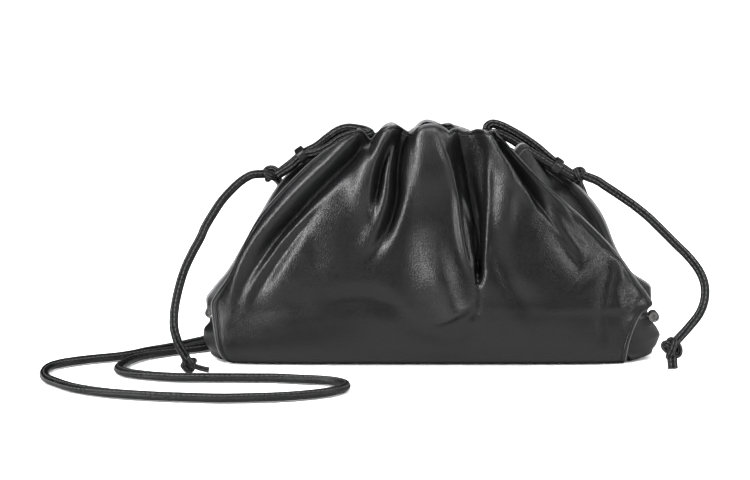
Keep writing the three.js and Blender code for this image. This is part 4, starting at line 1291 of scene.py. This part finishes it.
@dataclass
class Studio:
    """The camera at the photograph's angle, a plain pale floor and soft light."""

    target: Point = (-27.6, -10.0, 60.0)
    distance: float = 1008.9
    elevation: float = 9.0
    lens: float = 100.0
    floor_tone: float = 0.93
    floor_reflected: Point = (0.42, 0.42, 0.425)
    surroundings: float = 1.1
    room: float = 0.008

    def build_camera(self) -> None:
        """Places the camera and makes it the scene's own."""
        data = bpy.data.cameras.new("camera")
        data.lens = self.lens
        data.sensor_width = 36.0
        camera = add_object("camera", data)
        tilt = math.radians(self.elevation)
        away = Vector((0.0, -math.cos(tilt), math.sin(tilt))) * self.distance
        camera.location = (Vector(self.target) + away) * MM
        camera.rotation_euler = (math.pi / 2 - tilt, 0.0, 0.0)
        bpy.context.scene.camera = camera

    def build_floor(self) -> None:
        """Lays the floor, which reflections see darker."""
        bpy.ops.mesh.primitive_plane_add(size=40.0, location=(0, 0, -0.0002))
        floor = bpy.context.object
        floor.name = "floor"
        material, graph, shader = start_material("pale floor")
        tone = self.floor_tone
        graph.fill(shader, {"Base Color": (tone, tone, tone, 1.0), "Roughness": 0.9, "Specular IOR Level": 0.0})
        dim = graph.add("BsdfDiffuse", {"Color": (*self.floor_reflected, 1.0)})
        graph.reflect_apart(shader, dim, "Material Output")
        floor.data.materials.append(material)

    def build_lights(self) -> None:
        """Hangs the soft lights, which look at the bag."""
        for name, (at, (width, height), power) in LIGHTS.items():
            data = bpy.data.lights.new(name, "AREA")
            data.shape = "RECTANGLE"
            data.size, data.size_y, data.energy = width, height, power
            lamp = add_object(name, data)
            lamp.location = at
            aim = Vector((0.0, 0.0, 0.06)) - Vector(at)
            lamp.rotation_euler = aim.to_track_quat("-Z", "Y").to_euler()

    def build_world(self) -> None:
        """Sets the pale surroundings, which the leather sees as a dim room."""
        world = bpy.data.worlds.new("surroundings")
        bpy.context.scene.world = world
        world.use_nodes = True
        graph = Graph(world.node_tree)
        white = (1.0, 1.0, 1.0, 1.0)
        back = graph.fill(world.node_tree.nodes["Background"], {"Color": white, "Strength": self.surroundings})
        room = graph.add("Background", {"Color": white, "Strength": self.room})
        graph.reflect_apart(back, room, "World Output")


# The whole bag


KNOTS = (
    Knot("knot_upper_left", (-77.9, 0.4, 91), 8.8, (0.93, 0.15, 0.25), 0.6, 0.92),
    Knot("knot_upper_right", (71.2, 0.4, 90.4), 9.0, (0.9, -0.05, -0.35), 2.2, 0.75),
    Knot("knot_end_left", (-116.2, -37.6, 4.7), 8.8, (0.9, 0.1, -0.2), 1.2, 0.85,
         ((-115, -37.6, 4.2), (-112.0, -37.6, 3.2), (-108.6, -37.6, 2.2), (-106.6, -37.6, 1.8)), 0.62),
    Knot("knot_end_right", (114.4, -29.8, 10.6), 10.4, (-0.25, -0.1, 1.0), 0.9, 0.95,
         ((114.4, -30.2, 9), (114.6, -31.2, 5), (114.9, -31.8, 1.2)), 1.12),
)
CORDS = (
    Cord("loop_left", LOOP_LEFT, FarEnd.OBJECT, Lay.TAUT),
    Cord("loop_right", LOOP_RIGHT, FarEnd.OBJECT, Lay.TAUT),
    Cord("tail_left", TAIL_LEFT, FarEnd.KNOT, Lay.HANGING, ("knot_end_left_cord", "knot_upper_left_cord")),
    Cord("tail_right", TAIL_RIGHT, FarEnd.KNOT, Lay.HANGING, ("knot_end_right_cord", "knot_upper_right_cord")),
    Cord("strap", STRAP, FarEnd.OBJECT, Lay.LOOSE, facing=(0.0, -0.6, 0.8)),
)
KEEPERS = (
    Keeper("keeper_left", (-63.3, 0, 100.6), 36, 13),
    Keeper("keeper_right", (60.9, 0, 95.0), -35, 18),
)
HINGES = (
    HingeEnd("hinge_left", -1.014 * HALF_WIDTH, 0.200 * BAG_HEIGHT, 3.6),
    HingeEnd("hinge_right", 1.022 * HALF_WIDTH, 0.182 * BAG_HEIGHT, -5.0),
)


def build_bag() -> None:
    """Builds and dresses every piece of the bag."""
    # Both leathers get a painted highlight along their cut edges.
    leather = BagLeather("bag leather", hem_depth=0.25, edge_highlight=20.0)
    gusset_leather = BagLeather("gusset leather", colour=(0.002, 0.002, 0.0022), roughness=0.42,
                                hem_depth=0.4, edge_highlight=26.0)
    front = GatheredPanel("front_panel", -1.0, FRONT_SECTIONS, FRONT_FOLDS, FRONT_RIM)
    back = GatheredPanel("back_panel", 1.0, BACK_SECTIONS, BACK_FOLDS, BACK_RIM, seed=2.1)
    gussets = (
        Gusset("gusset_left", -1.0, front, back),
        Gusset("gusset_right", 1.0, front, back, top=0.91, lobe=3.4, reach=8.0),
    )
    for finish, pieces in (
        (leather, (front, back)),
        (gusset_leather, gussets),
        (SatinNickel(), HINGES),
        (BagLeather("band leather", grain_size=1300.0), KEEPERS),
        (CordLeather(), KNOTS + CORDS),
    ):
        material = finish.build()
        for piece in pieces:
            piece.build(material)


def main() -> None:
    """Loads the frame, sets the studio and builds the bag."""
    logging.basicConfig(level=logging.INFO, format="%(name)s: %(message)s")
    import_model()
    studio = Studio()
    studio.build_camera()
    studio.build_floor()
    studio.build_lights()
    studio.build_world()
    bpy.context.scene.view_settings.view_transform = "Standard"
    build_bag()


if __name__ == "__main__":
    main()
